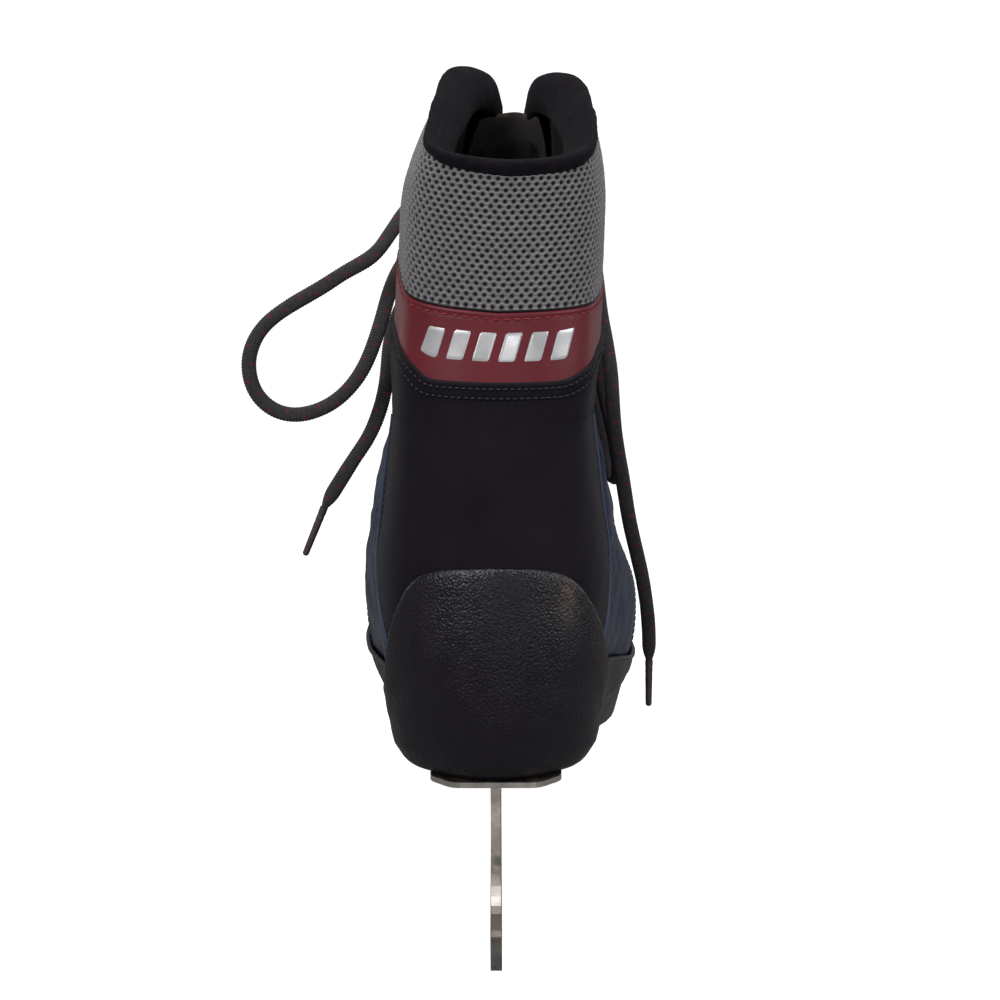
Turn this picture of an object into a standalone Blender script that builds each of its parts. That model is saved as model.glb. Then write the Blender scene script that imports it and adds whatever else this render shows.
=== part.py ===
"""Right-foot ice skate: padded lace-up boot, moulded cup sole with heel counter, plates and steel blade.

Design coordinates are millimetres: X to the lateral side, Y from the back of the heel towards the toe,
Z up from the tail of the runner. The finished object is in metres with its origin on the middle of the
runner's running edge.
"""
import bpy
import bmesh
import math
from mathutils import Vector, Matrix

# ---------------------------------------------------------------- driving dimensions (mm)
MM = 0.001
Y_ORIGIN = 140.0          # design Y of the object's origin, the middle of the flat of the runner
ROCKER_SAG = 3.5          # the middle of the runner lies this far below its tail
LEATHER = 1.8             # thickness of the outer panels
LINING = 2.5              # thickness of the padded linings
LAYER_GAP = 0.3           # clearance between layers
LINING_GAP = 0.7          # adhesive layer between outer panels and linings
CUP_GAP = 0.9             # clearance between the upper and the inside of the cup sole
HEEL_BOTTOM = 60.0        # underside of the heel
BALL_BOTTOM = 48.0        # underside of the fore sole
HEEL_FLOOR = 78.0         # inner floor of the cup sole under the heel
BALL_FLOOR = 62.0         # inner floor of the cup sole under the ball
CUP_WALL = 3.0            # wall of the cup sole and counter
PLATE = 2.0               # heel and sole plate thickness
WEB = 3.5                 # blade web thickness
RUNNER = 4.1              # blade runner thickness
RUNNER_H = 12.5           # height of the thicker runner strip
SCREW_D = 3.0
SCREW_HEAD_D = 7.2
EYELET_BORE = 2.1         # radius
LACE_R = 1.3              # radius of the tensioned lace
CORD_R = 2.3              # radius of the free lace
BOARD = 1.6
FOOTBED = 3.7
TONGUE_PIVOT = (203.0, 122.0)   # Y, Z of the stitched root of the tongue

# ---------------------------------------------------------------- boot surface
# Rings from the sole edge (0) to above the collar (14). Each ring: back point (y, z, x), front point
# (y, z, x), then lateral and medial X at 7, 25, 50, 75 and 93 % of the way from back to front.
RINGS = [
    ((9.0, 66.0, 0.0), (286.0, 54.0, -6.0), (27.6, 31.8, 44.5, 44.0, 24.0), (-28.5, -32.6, -42.0, -48.0, -35.0)),
    ((5.0, 84.0, 0.0), (289.5, 69.5, -6.0), (30.6, 36.8, 51.0, 49.0, 28.0), (-31.4, -37.6, -49.3, -51.5, -37.0)),
    ((3.0, 100.0, 0.0), (284.5, 87.5, -6.0), (32.5, 41.5, 52.5, 49.0, 27.0), (-33.0, -42.5, -52.0, -50.0, -34.0)),
    ((2.6, 113.0, 0.0), (267.0, 101.0, -5.0), (32.5, 42.0, 51.0, 46.0, 25.0), (-33.0, -43.5, -52.0, -47.0, -30.0)),
    ((3.0, 126.0, 0.0), (241.0, 110.5, -4.0), (31.0, 41.8, 48.5, 41.5, 22.0), (-32.0, -43.8, -50.5, -43.0, -26.0)),
    ((4.0, 140.0, 0.0), (213.0, 122.5, -3.0), (30.0, 40.5, 44.8, 37.0, 19.0), (-31.0, -42.5, -48.5, -39.0, -22.0)),
    ((6.0, 155.0, 0.0), (184.5, 139.5, -2.0), (28.0, 38.0, 42.0, 34.0, 17.0), (-29.0, -40.2, -46.0, -36.0, -19.0)),
    ((8.5, 171.0, 0.0), (160.0, 160.0, -1.0), (26.5, 35.5, 39.0, 31.5, 16.0), (-27.5, -37.6, -41.6, -33.0, -17.0)),
    ((11.5, 188.0, 0.0), (141.0, 184.0, 0.0), (26.0, 33.6, 35.4, 29.6, 16.0), (-26.5, -35.2, -36.8, -30.0, -16.0)),
    ((13.5, 205.0, 0.5), (129.0, 206.0, 1.0), (27.0, 35.6, 37.0, 30.5, 16.5), (-25.5, -34.8, -36.8, -29.5, -15.0)),
    ((14.5, 224.0, 1.2), (121.0, 228.0, 2.0), (27.2, 36.8, 38.0, 31.0, 17.5), (-24.5, -33.6, -35.3, -28.0, -14.0)),
    ((14.0, 244.0, 2.5), (116.0, 250.0, 3.5), (28.0, 37.8, 38.6, 31.8, 18.5), (-23.5, -32.4, -34.0, -27.0, -13.0)),
    ((13.0, 262.0, 4.0), (113.0, 272.0, 5.0), (28.5, 38.2, 39.0, 32.4, 19.5), (-22.0, -30.8, -32.3, -25.5, -11.0)),
    ((12.0, 276.0, 5.5), (111.0, 296.0, 6.5), (28.0, 36.5, 36.6, 31.0, 19.6), (-19.9, -26.8, -25.6, -20.0, -8.4)),
    ((12.0, 286.0, 6.5), (110.0, 318.0, 7.4), (25.4, 31.6, 30.6, 27.4, 18.7), (-15.6, -19.2, -17.6, -13.6, -5.6)),
]


def pchip(x, nodes):
    """Smooth monotone curve through (x, y) nodes, constant outside them."""
    if x <= nodes[0][0]:
        return nodes[0][1]
    if x >= nodes[-1][0]:
        return nodes[-1][1]
    n = len(nodes)
    h = [nodes[i + 1][0] - nodes[i][0] for i in range(n - 1)]
    s = [(nodes[i + 1][1] - nodes[i][1]) / h[i] for i in range(n - 1)]
    m = [0.0] * n
    for i in range(1, n - 1):
        if s[i - 1] * s[i] > 0:
            w1, w2 = 2 * h[i] + h[i - 1], h[i] + 2 * h[i - 1]
            m[i] = (w1 + w2) / (w1 / s[i - 1] + w2 / s[i])
    m[0], m[-1] = s[0], s[-1]
    for i in range(n - 1):
        if x <= nodes[i + 1][0]:
            t = (x - nodes[i][0]) / h[i]
            t2, t3 = t * t, t * t * t
            return (nodes[i][1] * (2 * t3 - 3 * t2 + 1) + m[i] * h[i] * (t3 - 2 * t2 + t)
                    + nodes[i + 1][1] * (-2 * t3 + 3 * t2) + m[i + 1] * h[i] * (t3 - t2))
    return nodes[-1][1]


def cubic(p0, p1, p2, p3, t):
    return p1 + 0.5 * t * (p2 - p0 + t * (2 * p0 - 5 * p1 + 4 * p2 - p3 + t * (3 * (p1 - p2) + p3 - p0)))


def ring_point(k, th):
    back, front, lateral, medial = RINGS[k]
    a = abs(th)
    side = 1.0 if th >= 0 else -1.0
    xs = lateral if th >= 0 else medial
    t = (1 - math.cos(math.radians(a))) / 2
    xc = back[2] + (front[2] - back[2]) * t
    widths = []
    for i, x in enumerate(xs):
        ang = math.radians(30 * (i + 1))
        ti = (1 - math.cos(ang)) / 2
        widths.append(abs(x - (back[2] + (front[2] - back[2]) * ti)) / math.sin(ang))
    w = [widths[0] + 0.25 * (widths[0] - widths[1])] + widths + [widths[4] + 0.25 * (widths[4] - widths[3])]
    f = min(max(a / 30.0, 0.0), 5.9999)
    i = int(f)
    p0 = w[i - 1] if i > 0 else w[1]
    p3 = w[i + 2] if i < 5 else w[5]
    kk = cubic(p0, w[i], w[i + 1], p3, f - i)
    return Vector((xc + side * kk * math.sin(math.radians(a)),
                   back[0] + (front[0] - back[0]) * t, back[1] + (front[1] - back[1]) * t))


def wrap(th):
    while th > 180.0:
        th -= 360.0
    while th < -180.0:
        th += 360.0
    return th


def surf(th, v):
    """Point of the boot's outer surface; th 0 at the back, +90 lateral, 180 at the front; v is the ring."""
    th = wrap(th)
    top = len(RINGS) - 1
    vv = min(max(v, 0.0), top - 1e-6)
    i = int(vv)
    a, b = ring_point(i, th), ring_point(i + 1, th)
    p0 = ring_point(i - 1, th) if i > 0 else a * 2 - b
    p3 = ring_point(i + 2, th) if i + 2 <= top else b * 2 - a
    p = cubic(p0, a, b, p3, vv - i)
    if v < 0:
        p = a + (b - a) * v
    if v > top:
        p = b + (b - a) * (v - top)
    return p


def normal(th, v):
    e, f = 0.6, 0.04
    du = surf(th + e, v) - surf(th - e, v)
    dv = surf(th, v + f) - surf(th, v - f)
    return du.cross(dv).normalized()


def pt(th, v, d=0.0):
    return surf(th, v) + normal(th, v) * d


def to_world(p):
    return Vector((p[0] * MM, (p[1] - Y_ORIGIN) * MM, (p[2] + ROCKER_SAG) * MM))


def floor_z(y):
    return pchip(y, [(78, HEEL_FLOOR), (100, HEEL_FLOOR - 3.4), (128, BALL_FLOOR + 2.6), (150, BALL_FLOOR),
                     (225, BALL_FLOOR), (262, BALL_FLOOR + 0.9), (292, BALL_FLOOR + 3.2)])


def bottom_z(y):
    return pchip(y, [(80, HEEL_BOTTOM), (96, HEEL_BOTTOM - 2.6), (122, BALL_BOTTOM + 2.0), (140, BALL_BOTTOM),
                     (226, BALL_BOTTOM), (258, BALL_BOTTOM + 1.4), (292, BALL_BOTTOM + 5.5)])


_height_cache = {}


def v_at_floor(th, above):
    """Ring value at which the surface stands the given height above the inner floor."""
    key = (round(wrap(th), 4), above)
    if key not in _height_cache:
        lo, hi = -0.5, 2.5
        for _ in range(26):
            mid = (lo + hi) / 2
            p = surf(th, mid)
            if p.z - floor_z(p.y) < above:
                lo = mid
            else:
                hi = mid
        _height_cache[key] = (lo + hi) / 2
    return _height_cache[key]


def v_foot(th):
    return v_at_floor(th, BOARD + 1.4)


def signed(th, lateral, medial):
    a = wrap(th)
    return pchip(abs(a), lateral if a >= 0 else medial)


def v_fox(th):
    """Top edge of the cup sole: high counter at the back, low wall round the fore foot."""
    return signed(th,
                  [(0, 4.9), (12, 4.86), (21, 4.70), (28, 4.34), (34, 3.6), (39, 2.7), (44, 2.0), (50, 1.7), (60, 1.55), (74, 1.2),
                   (91, 0.8), (112, 0.66), (135, 0.82), (180, 1.05)],
                  [(0, 4.9), (12, 4.86), (21, 4.74), (29, 4.40), (35, 3.7), (39, 2.8), (44, 1.9), (50, 1.4), (60, 1.25), (79, 1.1),
                   (97, 0.98), (120, 0.9), (145, 0.95), (180, 1.05)])


def v_band_low(th):
    return signed(th, [(0, 8.88), (24, 8.87), (37, 9.02), (52, 9.2), (65, 9.32), (90, 9.45), (120, 9.62), (180, 9.9)],
                  [(0, 8.88), (24, 8.91), (35, 9.17), (50, 9.45), (65, 9.62), (90, 9.78), (120, 9.95), (180, 10.2)])


def v_band_top(th):
    return signed(th, [(0, 10.16), (37, 10.17), (65, 10.24), (90, 10.38), (120, 10.55), (180, 10.9)],
                  [(0, 10.16), (37, 10.32), (65, 10.62), (90, 10.82), (120, 10.98), (180, 11.2)])


def collar(th):
    """Ring value of the middle of the collar roll and its half height in rings."""
    low = signed(th, [(0, 12.88), (45, 12.92), (60, 13.0), (80, 13.15), (95, 13.17), (120, 13.08), (146, 12.95), (150, 12.86),
                      (158, 12.64), (163, 12.50), (172, 12.36)],
                 [(0, 12.88), (22, 13.1), (35, 13.26), (60, 13.38), (90, 13.32), (120, 13.16), (146, 12.95), (150, 12.86),
                  (158, 12.64), (163, 12.50), (172, 12.36)])
    high = signed(th, [(0, 13.48), (45, 13.52), (90, 13.70), (120, 13.70), (140, 13.62), (152, 13.56), (163, 13.40), (172, 12.85)],
                  [(0, 13.48), (45, 13.74), (90, 13.86), (120, 13.84), (140, 13.76), (152, 13.66), (163, 13.46), (172, 12.85)])
    return (low + high) / 2, (high - low) / 2


def v_cuff_top(th):
    a = wrap(th)
    mid, half = collar(min(max(a, -146.0), 146.0))
    return mid - half - 0.03


def th_heel(v):
    return pchip(v, [(0.5, 40.0), (2.4, 42.0), (3.2, 46.0), (3.8, 51.5), (4.5, 57.0), (5.2, 60.0), (6.3, 63.0), (8.0, 70.0), (9.6, 76.0)])


EYESTAY_BACK = 146.0
QUARTER_TOP = 8.02        # ring at which the quarters end under the wings of the heel panel
THROAT = 167.0


def th_quarter_front(v):
    return pchip(v, [(0.4, 95.0), (1.2, 97.0), (2.5, 105.0), (4.0, 122.0), (5.2, 138.0), (5.95, EYESTAY_BACK)])


def v_cap(th):
    d = abs(abs(wrap(th)) - 180.0)
    c = max(0.0, 1 - (d / 64.0) ** 2) ** 0.8
    lo = v_foot(th)
    return lo + (3.3 - lo) * c


def v_vamp_top(th):
    d = abs(abs(wrap(th)) - 180.0)
    return pchip(d, [(0, 5.55), (13, 5.68), (34, 5.86), (60, 6.0)])


# ---------------------------------------------------------------- scene set-up
for _o in list(bpy.data.objects):
    bpy.data.objects.remove(_o, do_unlink=True)
for _c in list(bpy.data.collections):
    bpy.data.collections.remove(_c)

scene = bpy.context.scene
scene.unit_settings.system = 'METRIC'
scene.unit_settings.scale_length = 1.0

SKATE = bpy.data.collections.new('ice_skate_boot')
CUTTERS = bpy.data.collections.new('cutters')
scene.collection.children.link(SKATE)
scene.collection.children.link(CUTTERS)

COLOURS = {
    'black_rubber': ((0.018, 0.018, 0.020), 0.55, 0.0),
    'board': ((0.45, 0.36, 0.25), 0.9, 0.0),
    'footbed_foam': ((0.05, 0.05, 0.055), 0.9, 0.0),
    'steel': ((0.42, 0.39, 0.36), 0.35, 1.0),
    'nickel': ((0.62, 0.58, 0.52), 0.25, 1.0),
    'nubuck': ((0.013, 0.012, 0.015), 0.85, 0.0),
    'navy_leather': ((0.012, 0.020, 0.060), 0.35, 0.0),
    'burgundy': ((0.14, 0.014, 0.024), 0.5, 0.0),
    'grey_mesh': ((0.16, 0.165, 0.17), 0.9, 0.0),
    'black_fleece': ((0.010, 0.010, 0.011), 0.95, 0.0),
    'lace': ((0.020, 0.018, 0.022), 0.85, 0.0),
    'aglet': ((0.060, 0.040, 0.040), 0.3, 0.0),
    'black_metal': ((0.05, 0.05, 0.055), 0.35, 1.0),
}


def material(node, kind):
    colour, rough, metal = COLOURS[kind]
    m = bpy.data.materials.new(kind + '_' + node)
    m.use_nodes = True
    b = m.node_tree.nodes['Principled BSDF']
    b.inputs['Base Color'].default_value = (*colour, 1.0)
    b.inputs['Roughness'].default_value = rough
    b.inputs['Metallic'].default_value = metal
    m.diffuse_color = (*colour, 1.0)
    return m


def make_object(name, mesh, kind, collection=None):
    ob = bpy.data.objects.new(name, mesh)
    (collection or SKATE).objects.link(ob)
    if kind:
        mesh.materials.clear()
        mesh.materials.append(material(name, kind))
    return ob


def finish_mesh(bm, name, smooth=True):
    bmesh.ops.remove_doubles(bm, verts=bm.verts, dist=0.00002)
    me = bpy.data.meshes.new(name)
    bm.to_mesh(me)
    bm.free()
    if smooth:
        for f in me.polygons:
            f.use_smooth = True
    return me


def cutter(name, mesh):
    ob = make_object(name, mesh, None, CUTTERS)
    ob.hide_render = True
    ob.display_type = 'WIRE'
    return ob


def cut(ob, tool, op='DIFFERENCE'):
    m = ob.modifiers.new(op.lower(), 'BOOLEAN')
    m.operation = op
    m.solver = 'EXACT'
    m.object = tool
    return m


def sheet(name, kind, fn, ni, nj, thickness, wrap_i=False):
    """Open grid surface facing outwards, given thickness inwards."""
    bm = bmesh.new()
    rows = []
    for j in range(nj + 1):
        rows.append([bm.verts.new(to_world(fn(i / ni, j / nj))) for i in range(ni if wrap_i else ni + 1)])
    n = ni if wrap_i else ni
    for j in range(nj):
        for i in range(n):
            k = (i + 1) % ni if wrap_i else i + 1
            bm.faces.new((rows[j][i], rows[j][k], rows[j + 1][k], rows[j + 1][i]))
    me = bpy.data.meshes.new(name)
    bm.to_mesh(me)
    bm.free()
    for f in me.polygons:
        f.use_smooth = True
    ob = make_object(name, me, kind)
    s = ob.modifiers.new('thickness', 'SOLIDIFY')
    s.thickness = thickness * MM
    s.offset = -1.0
    s.use_even_offset = True
    s.use_rim = True
    return ob


def ladder_solid(name, loops, half):
    """Closed solid from loops of 2*half points (bottom loop first); both ends closed by rungs across."""
    bm = bmesh.new()
    vs = [[bm.verts.new(to_world(p)) for p in loop] for loop in loops]
    n = 2 * half
    for a, b in zip(vs, vs[1:]):
        for i in range(n):
            k = (i + 1) % n
            bm.faces.new((a[i], a[k], b[k], b[i]))
    for loop, flip in ((vs[0], True), (vs[-1], False)):
        # index 0 is the back, index half the front; i and n-i face each other
        for i in range(half):
            left0, left1 = loop[i], loop[i + 1]
            right0, right1 = loop[(n - i) % n], loop[(n - i - 1) % n]
            quad = [left0, left1, right1, right0]
            uniq = []
            for q in quad:
                if q not in uniq:
                    uniq.append(q)
            if flip:
                uniq.reverse()
            bm.faces.new(uniq)
    bmesh.ops.recalc_face_normals(bm, faces=bm.faces)
    return finish_mesh(bm, name)


def round_angles(half):
    return [180.0 * i / half for i in range(half + 1)] + [-180.0 * (half - i) / half for i in range(1, half)]


def turned(name, profile, origin, axis, steps=12):
    """Turned shape: profile (radius, height) from top to bottom on the outer side, closed on the axis or as a ring."""
    bm = bmesh.new()
    vs = [bm.verts.new(Vector((r * MM, 0, h * MM))) for r, h in profile]
    for a, b in zip(vs, vs[1:]):
        bm.edges.new((a, b))
    if profile[0] != profile[-1] and profile[0][0] > 1e-6:
        bm.edges.new((vs[-1], vs[0]))
    me = bpy.data.meshes.new(name + '_profile')
    bm.to_mesh(me)
    bm.free()
    tmp = bpy.data.objects.new(name + '_tmp', me)
    scene.collection.objects.link(tmp)
    m = tmp.modifiers.new('turn', 'SCREW')
    m.axis = 'Z'
    m.angle = math.tau
    m.steps = steps
    m.render_steps = steps
    m.use_merge_vertices = True
    m.merge_threshold = 0.00001
    m.use_normal_calculate = True
    dg = bpy.context.evaluated_depsgraph_get()
    out = bpy.data.meshes.new_from_object(tmp.evaluated_get(dg))
    bpy.data.objects.remove(tmp, do_unlink=True)
    rot = Vector((0, 0, 1)).rotation_difference(Vector(axis)).to_matrix().to_4x4()
    out.transform(Matrix.Translation(to_world(origin)) @ rot)
    b2 = bmesh.new()
    b2.from_mesh(out)
    bmesh.ops.remove_doubles(b2, verts=b2.verts, dist=0.00001)
    bmesh.ops.recalc_face_normals(b2, faces=b2.faces)
    b2.to_mesh(out)
    b2.free()
    out.name = name
    for f in out.polygons:
        f.use_smooth = True
    return out


def bake_curve(name, cu, matrix):
    tmp = bpy.data.objects.new(name + '_tmp', cu)
    scene.collection.objects.link(tmp)
    dg = bpy.context.evaluated_depsgraph_get()
    me = bpy.data.meshes.new_from_object(tmp.evaluated_get(dg))
    bpy.data.objects.remove(tmp, do_unlink=True)
    me.transform(matrix)
    bm = bmesh.new()
    bm.from_mesh(me)
    bmesh.ops.remove_doubles(bm, verts=bm.verts, dist=0.00001)
    bmesh.ops.recalc_face_normals(bm, faces=bm.faces)
    bm.to_mesh(me)
    bm.free()
    me.name = name
    return me


def flat_plate(name, outlines, half_thickness, matrix):
    """Flat plate from closed outlines (the first is the edge, the others are holes)."""
    cu = bpy.data.curves.new(name, 'CURVE')
    cu.dimensions = '2D'
    cu.fill_mode = 'BOTH'
    cu.extrude = half_thickness * MM
    for line in outlines:
        sp = cu.splines.new('POLY')
        sp.points.add(len(line) - 1)
        for q, (a, b) in zip(sp.points, line):
            q.co = (a * MM, b * MM, 0, 1)
        sp.use_cyclic_u = True
    return bake_curve(name, cu, matrix)


def smooth_path(points, per=4):
    pts = [Vector(p) for p in points]
    pts = [pts[0] * 2 - pts[1]] + pts + [pts[-1] * 2 - pts[-2]]
    out = []
    for i in range(1, len(pts) - 2):
        for s in range(per):
            out.append(cubic(pts[i - 1], pts[i], pts[i + 1], pts[i + 2], s / per))
    out.append(pts[-2])
    return out


def tube(name, kind, points, radius):
    cu = bpy.data.curves.new(name, 'CURVE')
    cu.dimensions = '3D'
    cu.bevel_depth = radius * MM
    cu.bevel_resolution = 2
    cu.use_fill_caps = True
    sp = cu.splines.new('POLY')
    sp.points.add(len(points) - 1)
    for q, p in zip(sp.points, points):
        w = to_world(p)
        q.co = (w.x, w.y, w.z, 1)
    me = bake_curve(name, cu, Matrix.Identity(4))
    return make_object(name, me, kind)


# ---------------------------------------------------------------- cup sole
HALF = 26
ANGLES = round_angles(HALF)


def plan_out(th, v):
    n = normal(th, v)
    n.z = 0
    return n.normalized()


def sole_loop_low(inset, rise):
    out = []
    for th in ANGLES:
        p = surf(th, 0.0) + plan_out(th, 0.0) * inset
        out.append(Vector((p.x, p.y, bottom_z(p.y) + rise)))
    return out


loops = [sole_loop_low(-7.0, 0.0), sole_loop_low(-3.4, 0.5), sole_loop_low(-0.9, 2.6)]
for frac, off in ((0.04, 1.6), (0.2, 2.3), (0.38, 2.8), (0.56, CUP_WALL + 0.2), (0.74, CUP_WALL + 0.3),
                  (0.9, CUP_WALL + 0.3), (1.0, CUP_WALL - 0.1)):
    loops.append([pt(th, 0.12 + (v_fox(th) - 0.12) * frac, off) for th in ANGLES])
loops.append([pt(th, v_fox(th) + 0.03, CUP_WALL - 1.0) for th in ANGLES])
loops.append([pt(th, v_fox(th) + 0.02, 0.9) for th in ANGLES])
for frac in (0.0, 0.3, 0.6, 0.85):
    loops.append([pt(th, v_fox(th) - 0.04 + (v_at_floor(th, 0.0) - v_fox(th) + 0.04) * frac, CUP_GAP) for th in ANGLES])
last = []
for th in ANGLES:
    p = pt(th, v_at_floor(th, 0.0), CUP_GAP)
    last.append(Vector((p.x, p.y, floor_z(p.y))))
loops.append(last)
sole_mesh = ladder_solid('sole_unit', loops, HALF)
sole = make_object('sole_unit', sole_mesh, 'black_rubber')

# ---------------------------------------------------------------- steel shank in a pocket of the sole
SHANK = (64.0, 162.0, 7.0)      # from Y, to Y, half width


def strip(name, y0, y1, half_w, low, high, n):
    """Bar that follows the inner floor, between two heights above it."""
    bm = bmesh.new()
    secs = []
    for i in range(n + 1):
        y = y0 + (y1 - y0) * i / n
        z = floor_z(y)
        secs.append([bm.verts.new(to_world(p)) for p in
                     ((-half_w, y, z + low), (half_w, y, z + low), (half_w, y, z + high), (-half_w, y, z + high))])
    for a, b in zip(secs, secs[1:]):
        for i in range(4):
            k = (i + 1) % 4
            bm.faces.new((a[i], a[k], b[k], b[i]))
    bm.faces.new(secs[0])
    bm.faces.new(secs[-1])
    bmesh.ops.recalc_face_normals(bm, faces=bm.faces)
    return finish_mesh(bm, name, smooth=False)


cut(sole, cutter('shank_pocket', strip('shank_pocket', SHANK[0] - 0.4, SHANK[1] + 0.4, SHANK[2] + 0.4, -2.4, 1.5, 12)))
make_object('steel_shank', strip('steel_shank', SHANK[0], SHANK[1], SHANK[2], -2.0, -0.7, 12), 'steel')

# ---------------------------------------------------------------- lasting board and footbed
def floor_slab(name, inset, low, high, soften):
    def loop(extra, rise):
        out = []
        for th in ANGLES:
            v = v_at_floor(th, (low + high) / 2)
            p = surf(th, v) - plan_out(th, v) * (inset + extra)
            out.append(Vector((p.x, p.y, floor_z(p.y) + rise)))
        return out
    return ladder_solid(name, [loop(soften, low), loop(0.0, low + soften * 0.5), loop(0.0, high - soften * 0.5),
                               loop(soften, high)], HALF)


make_object('lasting_board', floor_slab('lasting_board', 0.4, LAYER_GAP, LAYER_GAP + BOARD, 0.2), 'board')
FOOTBED_LOW = LAYER_GAP * 2 + BOARD
make_object('footbed', floor_slab('footbed', 7.8, FOOTBED_LOW, FOOTBED_LOW + FOOTBED, 1.2), 'footbed_foam')

# ---------------------------------------------------------------- plates, screws and blade
HEEL_SCREWS = [(-14.5, 24.0), (14.5, 24.0), (-14.5, 64.0), (14.5, 64.0)]
BLADE_X = -2.4            # the sole plate sits under the middle of the fore foot
SOLE_SCREWS = [(BLADE_X - 22.0, 156.0), (BLADE_X + 22.0, 156.0), (BLADE_X - 22.0, 214.0), (BLADE_X + 22.0, 214.0)]


def circle(cx, cy, r, n=16):
    return [(cx + r * math.cos(math.tau * i / n), cy + r * math.sin(math.tau * i / n)) for i in range(n)]


def rounded(points, r, n=3):
    """Polygon with each corner rounded."""
    out = []
    m = len(points)
    for i in range(m):
        a, b, c = Vector(points[i - 1]), Vector(points[i]), Vector(points[(i + 1) % m])
        da, dc = (a - b), (c - b)
        rr = min(r, da.length * 0.45, dc.length * 0.45)
        p, q = b + da.normalized() * rr, b + dc.normalized() * rr
        for s in range(n + 1):
            t = s / n
            out.append(tuple(p * (1 - t) ** 2 + b * 2 * t * (1 - t) + q * t * t))
    return out


def plate_matrix(z):
    return Matrix.Translation(Vector((0, -Y_ORIGIN * MM, (z + ROCKER_SAG) * MM)))


hole_r = SCREW_HEAD_D / 2 + 0.3
heel_outline = rounded([(-15.5, 10.0), (15.5, 10.0), (23.5, 20.0), (23.5, 66.0), (15.0, 76.0), (-15.0, 76.0),
                        (-23.5, 66.0), (-23.5, 20.0)], 3.0)
make_object('heel_plate', flat_plate('heel_plate', [heel_outline] + [circle(x, y, hole_r) for x, y in HEEL_SCREWS], PLATE / 2,
                                     plate_matrix(HEEL_BOTTOM - LAYER_GAP - PLATE / 2)), 'nickel')
sole_outline = rounded([(-14.0, 146.0), (14.0, 146.0), (30.0, 152.0), (33.0, 176.0), (30.0, 214.0), (18.0, 225.0),
                        (-18.0, 225.0), (-30.0, 214.0), (-33.0, 176.0), (-30.0, 152.0)], 4.0)
sole_outline = [(x + BLADE_X, y) for x, y in sole_outline]
make_object('sole_plate', flat_plate('sole_plate', [sole_outline] + [circle(x, y, hole_r) for x, y in SOLE_SCREWS], PLATE / 2,
                                     plate_matrix(BALL_BOTTOM - LAYER_GAP - PLATE / 2)), 'nickel')

bores = []
for label, spots, under, length in (('heel', HEEL_SCREWS, HEEL_BOTTOM, 13.0), ('sole', SOLE_SCREWS, BALL_BOTTOM, 10.5)):
    for n, (x, y) in enumerate(spots, 1):
        low = under - LAYER_GAP - PLATE
        r = SCREW_D / 2
        prof = [(0.0, PLATE + LAYER_GAP + length), (r * 0.7, PLATE + LAYER_GAP + length - 1.0),
                (r, PLATE + LAYER_GAP + length - 3.0), (r, 2.0), (SCREW_HEAD_D / 2, 0.5), (SCREW_HEAD_D / 2, 0.15), (0.0, 0.15)]
        make_object('%s_screw_%d' % (label, n), turned('%s_screw_%d' % (label, n), prof, (x, y, low), (0, 0, 1), 10), 'steel')
        bore = [(0.0, length + 0.5), (r + 0.3, length + 0.5), (r + 0.3, -3.0), (0.0, -3.0)]
        bores.append(turned('bore', bore, (x, y, under), (0, 0, 1), 10))
bm = bmesh.new()
for me in bores:
    bm.from_mesh(me)
bore_mesh = bpy.data.meshes.new('screw_bores')
bm.to_mesh(bore_mesh)
bm.free()
cut(sole, cutter('screw_bores', bore_mesh))


def runner_z(y):
    """Running edge: flat in the middle, rockered to both ends."""
    if y < 110.0:
        return -ROCKER_SAG + (110.0 - y) ** 2 * ROCKER_SAG / 131.0 ** 2
    if y > 170.0:
        return -ROCKER_SAG + (y - 170.0) ** 2 * ROCKER_SAG / 131.0 ** 2
    return -ROCKER_SAG


HEEL_UNDER = HEEL_BOTTOM - 2 * LAYER_GAP - PLATE
SOLE_UNDER = BALL_BOTTOM - 2 * LAYER_GAP - PLATE
BLADE_TURN = math.atan2(-BLADE_X, 172.0)     # the blade runs from under the heel towards the middle of the fore foot
YZ = (Matrix.Translation(Vector((0, (12.0 - Y_ORIGIN) * MM, 0))) @ Matrix.Rotation(BLADE_TURN, 4, 'Z')
      @ Matrix.Translation(Vector((0, -(12.0 - Y_ORIGIN) * MM, 0)))
      @ Matrix(((0, 0, 1, 0), (1, 0, 0, -Y_ORIGIN * MM), (0, 1, 0, ROCKER_SAG * MM), (0, 0, 0, 1))))
web = [(-20.6, runner_z(-20) + 1.0), (-21.0, 12.8)]
web += [tuple(p)[:2] for p in smooth_path([(-18.0, 14.2, 0), (-7.0, 16.6, 0), (2.0, 24.0, 0), (7.5, 36.0, 0), (10.5, 49.0, 0),
                                           (11.5, HEEL_UNDER, 0)], 3)]
web += [tuple(p)[:2] for p in smooth_path([(72.0, HEEL_UNDER, 0), (68.5, 48.0, 0), (69.5, 33.0, 0), (79.0, 22.0, 0), (97.0, 17.5, 0),
                                           (122.0, 17.0, 0), (140.0, 20.0, 0), (149.5, 29.0, 0), (150.5, 40.0, 0),
                                           (149.0, SOLE_UNDER, 0)], 3)]
web += [tuple(p)[:2] for p in smooth_path([(221.0, SOLE_UNDER, 0), (229.0, 38.5, 0), (243.0, 34.5, 0), (256.0, 30.5, 0)], 3)]
web += [(262.0, 26.0), (263.5, 22.0), (258.8, 19.6), (261.6, 15.0), (256.8, 13.0), (258.8, 8.6), (253.8, 7.2), (254.5, 3.2)]
web += [(250.0, runner_z(250) + 1.0), (170.0, runner_z(170) + 1.0), (110.0, runner_z(110) + 1.0), (60.0, runner_z(60) + 1.0),
        (10.0, runner_z(10) + 1.0)]
blade = make_object('blade', flat_plate('blade', [web], WEB / 2, YZ), 'steel')
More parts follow.
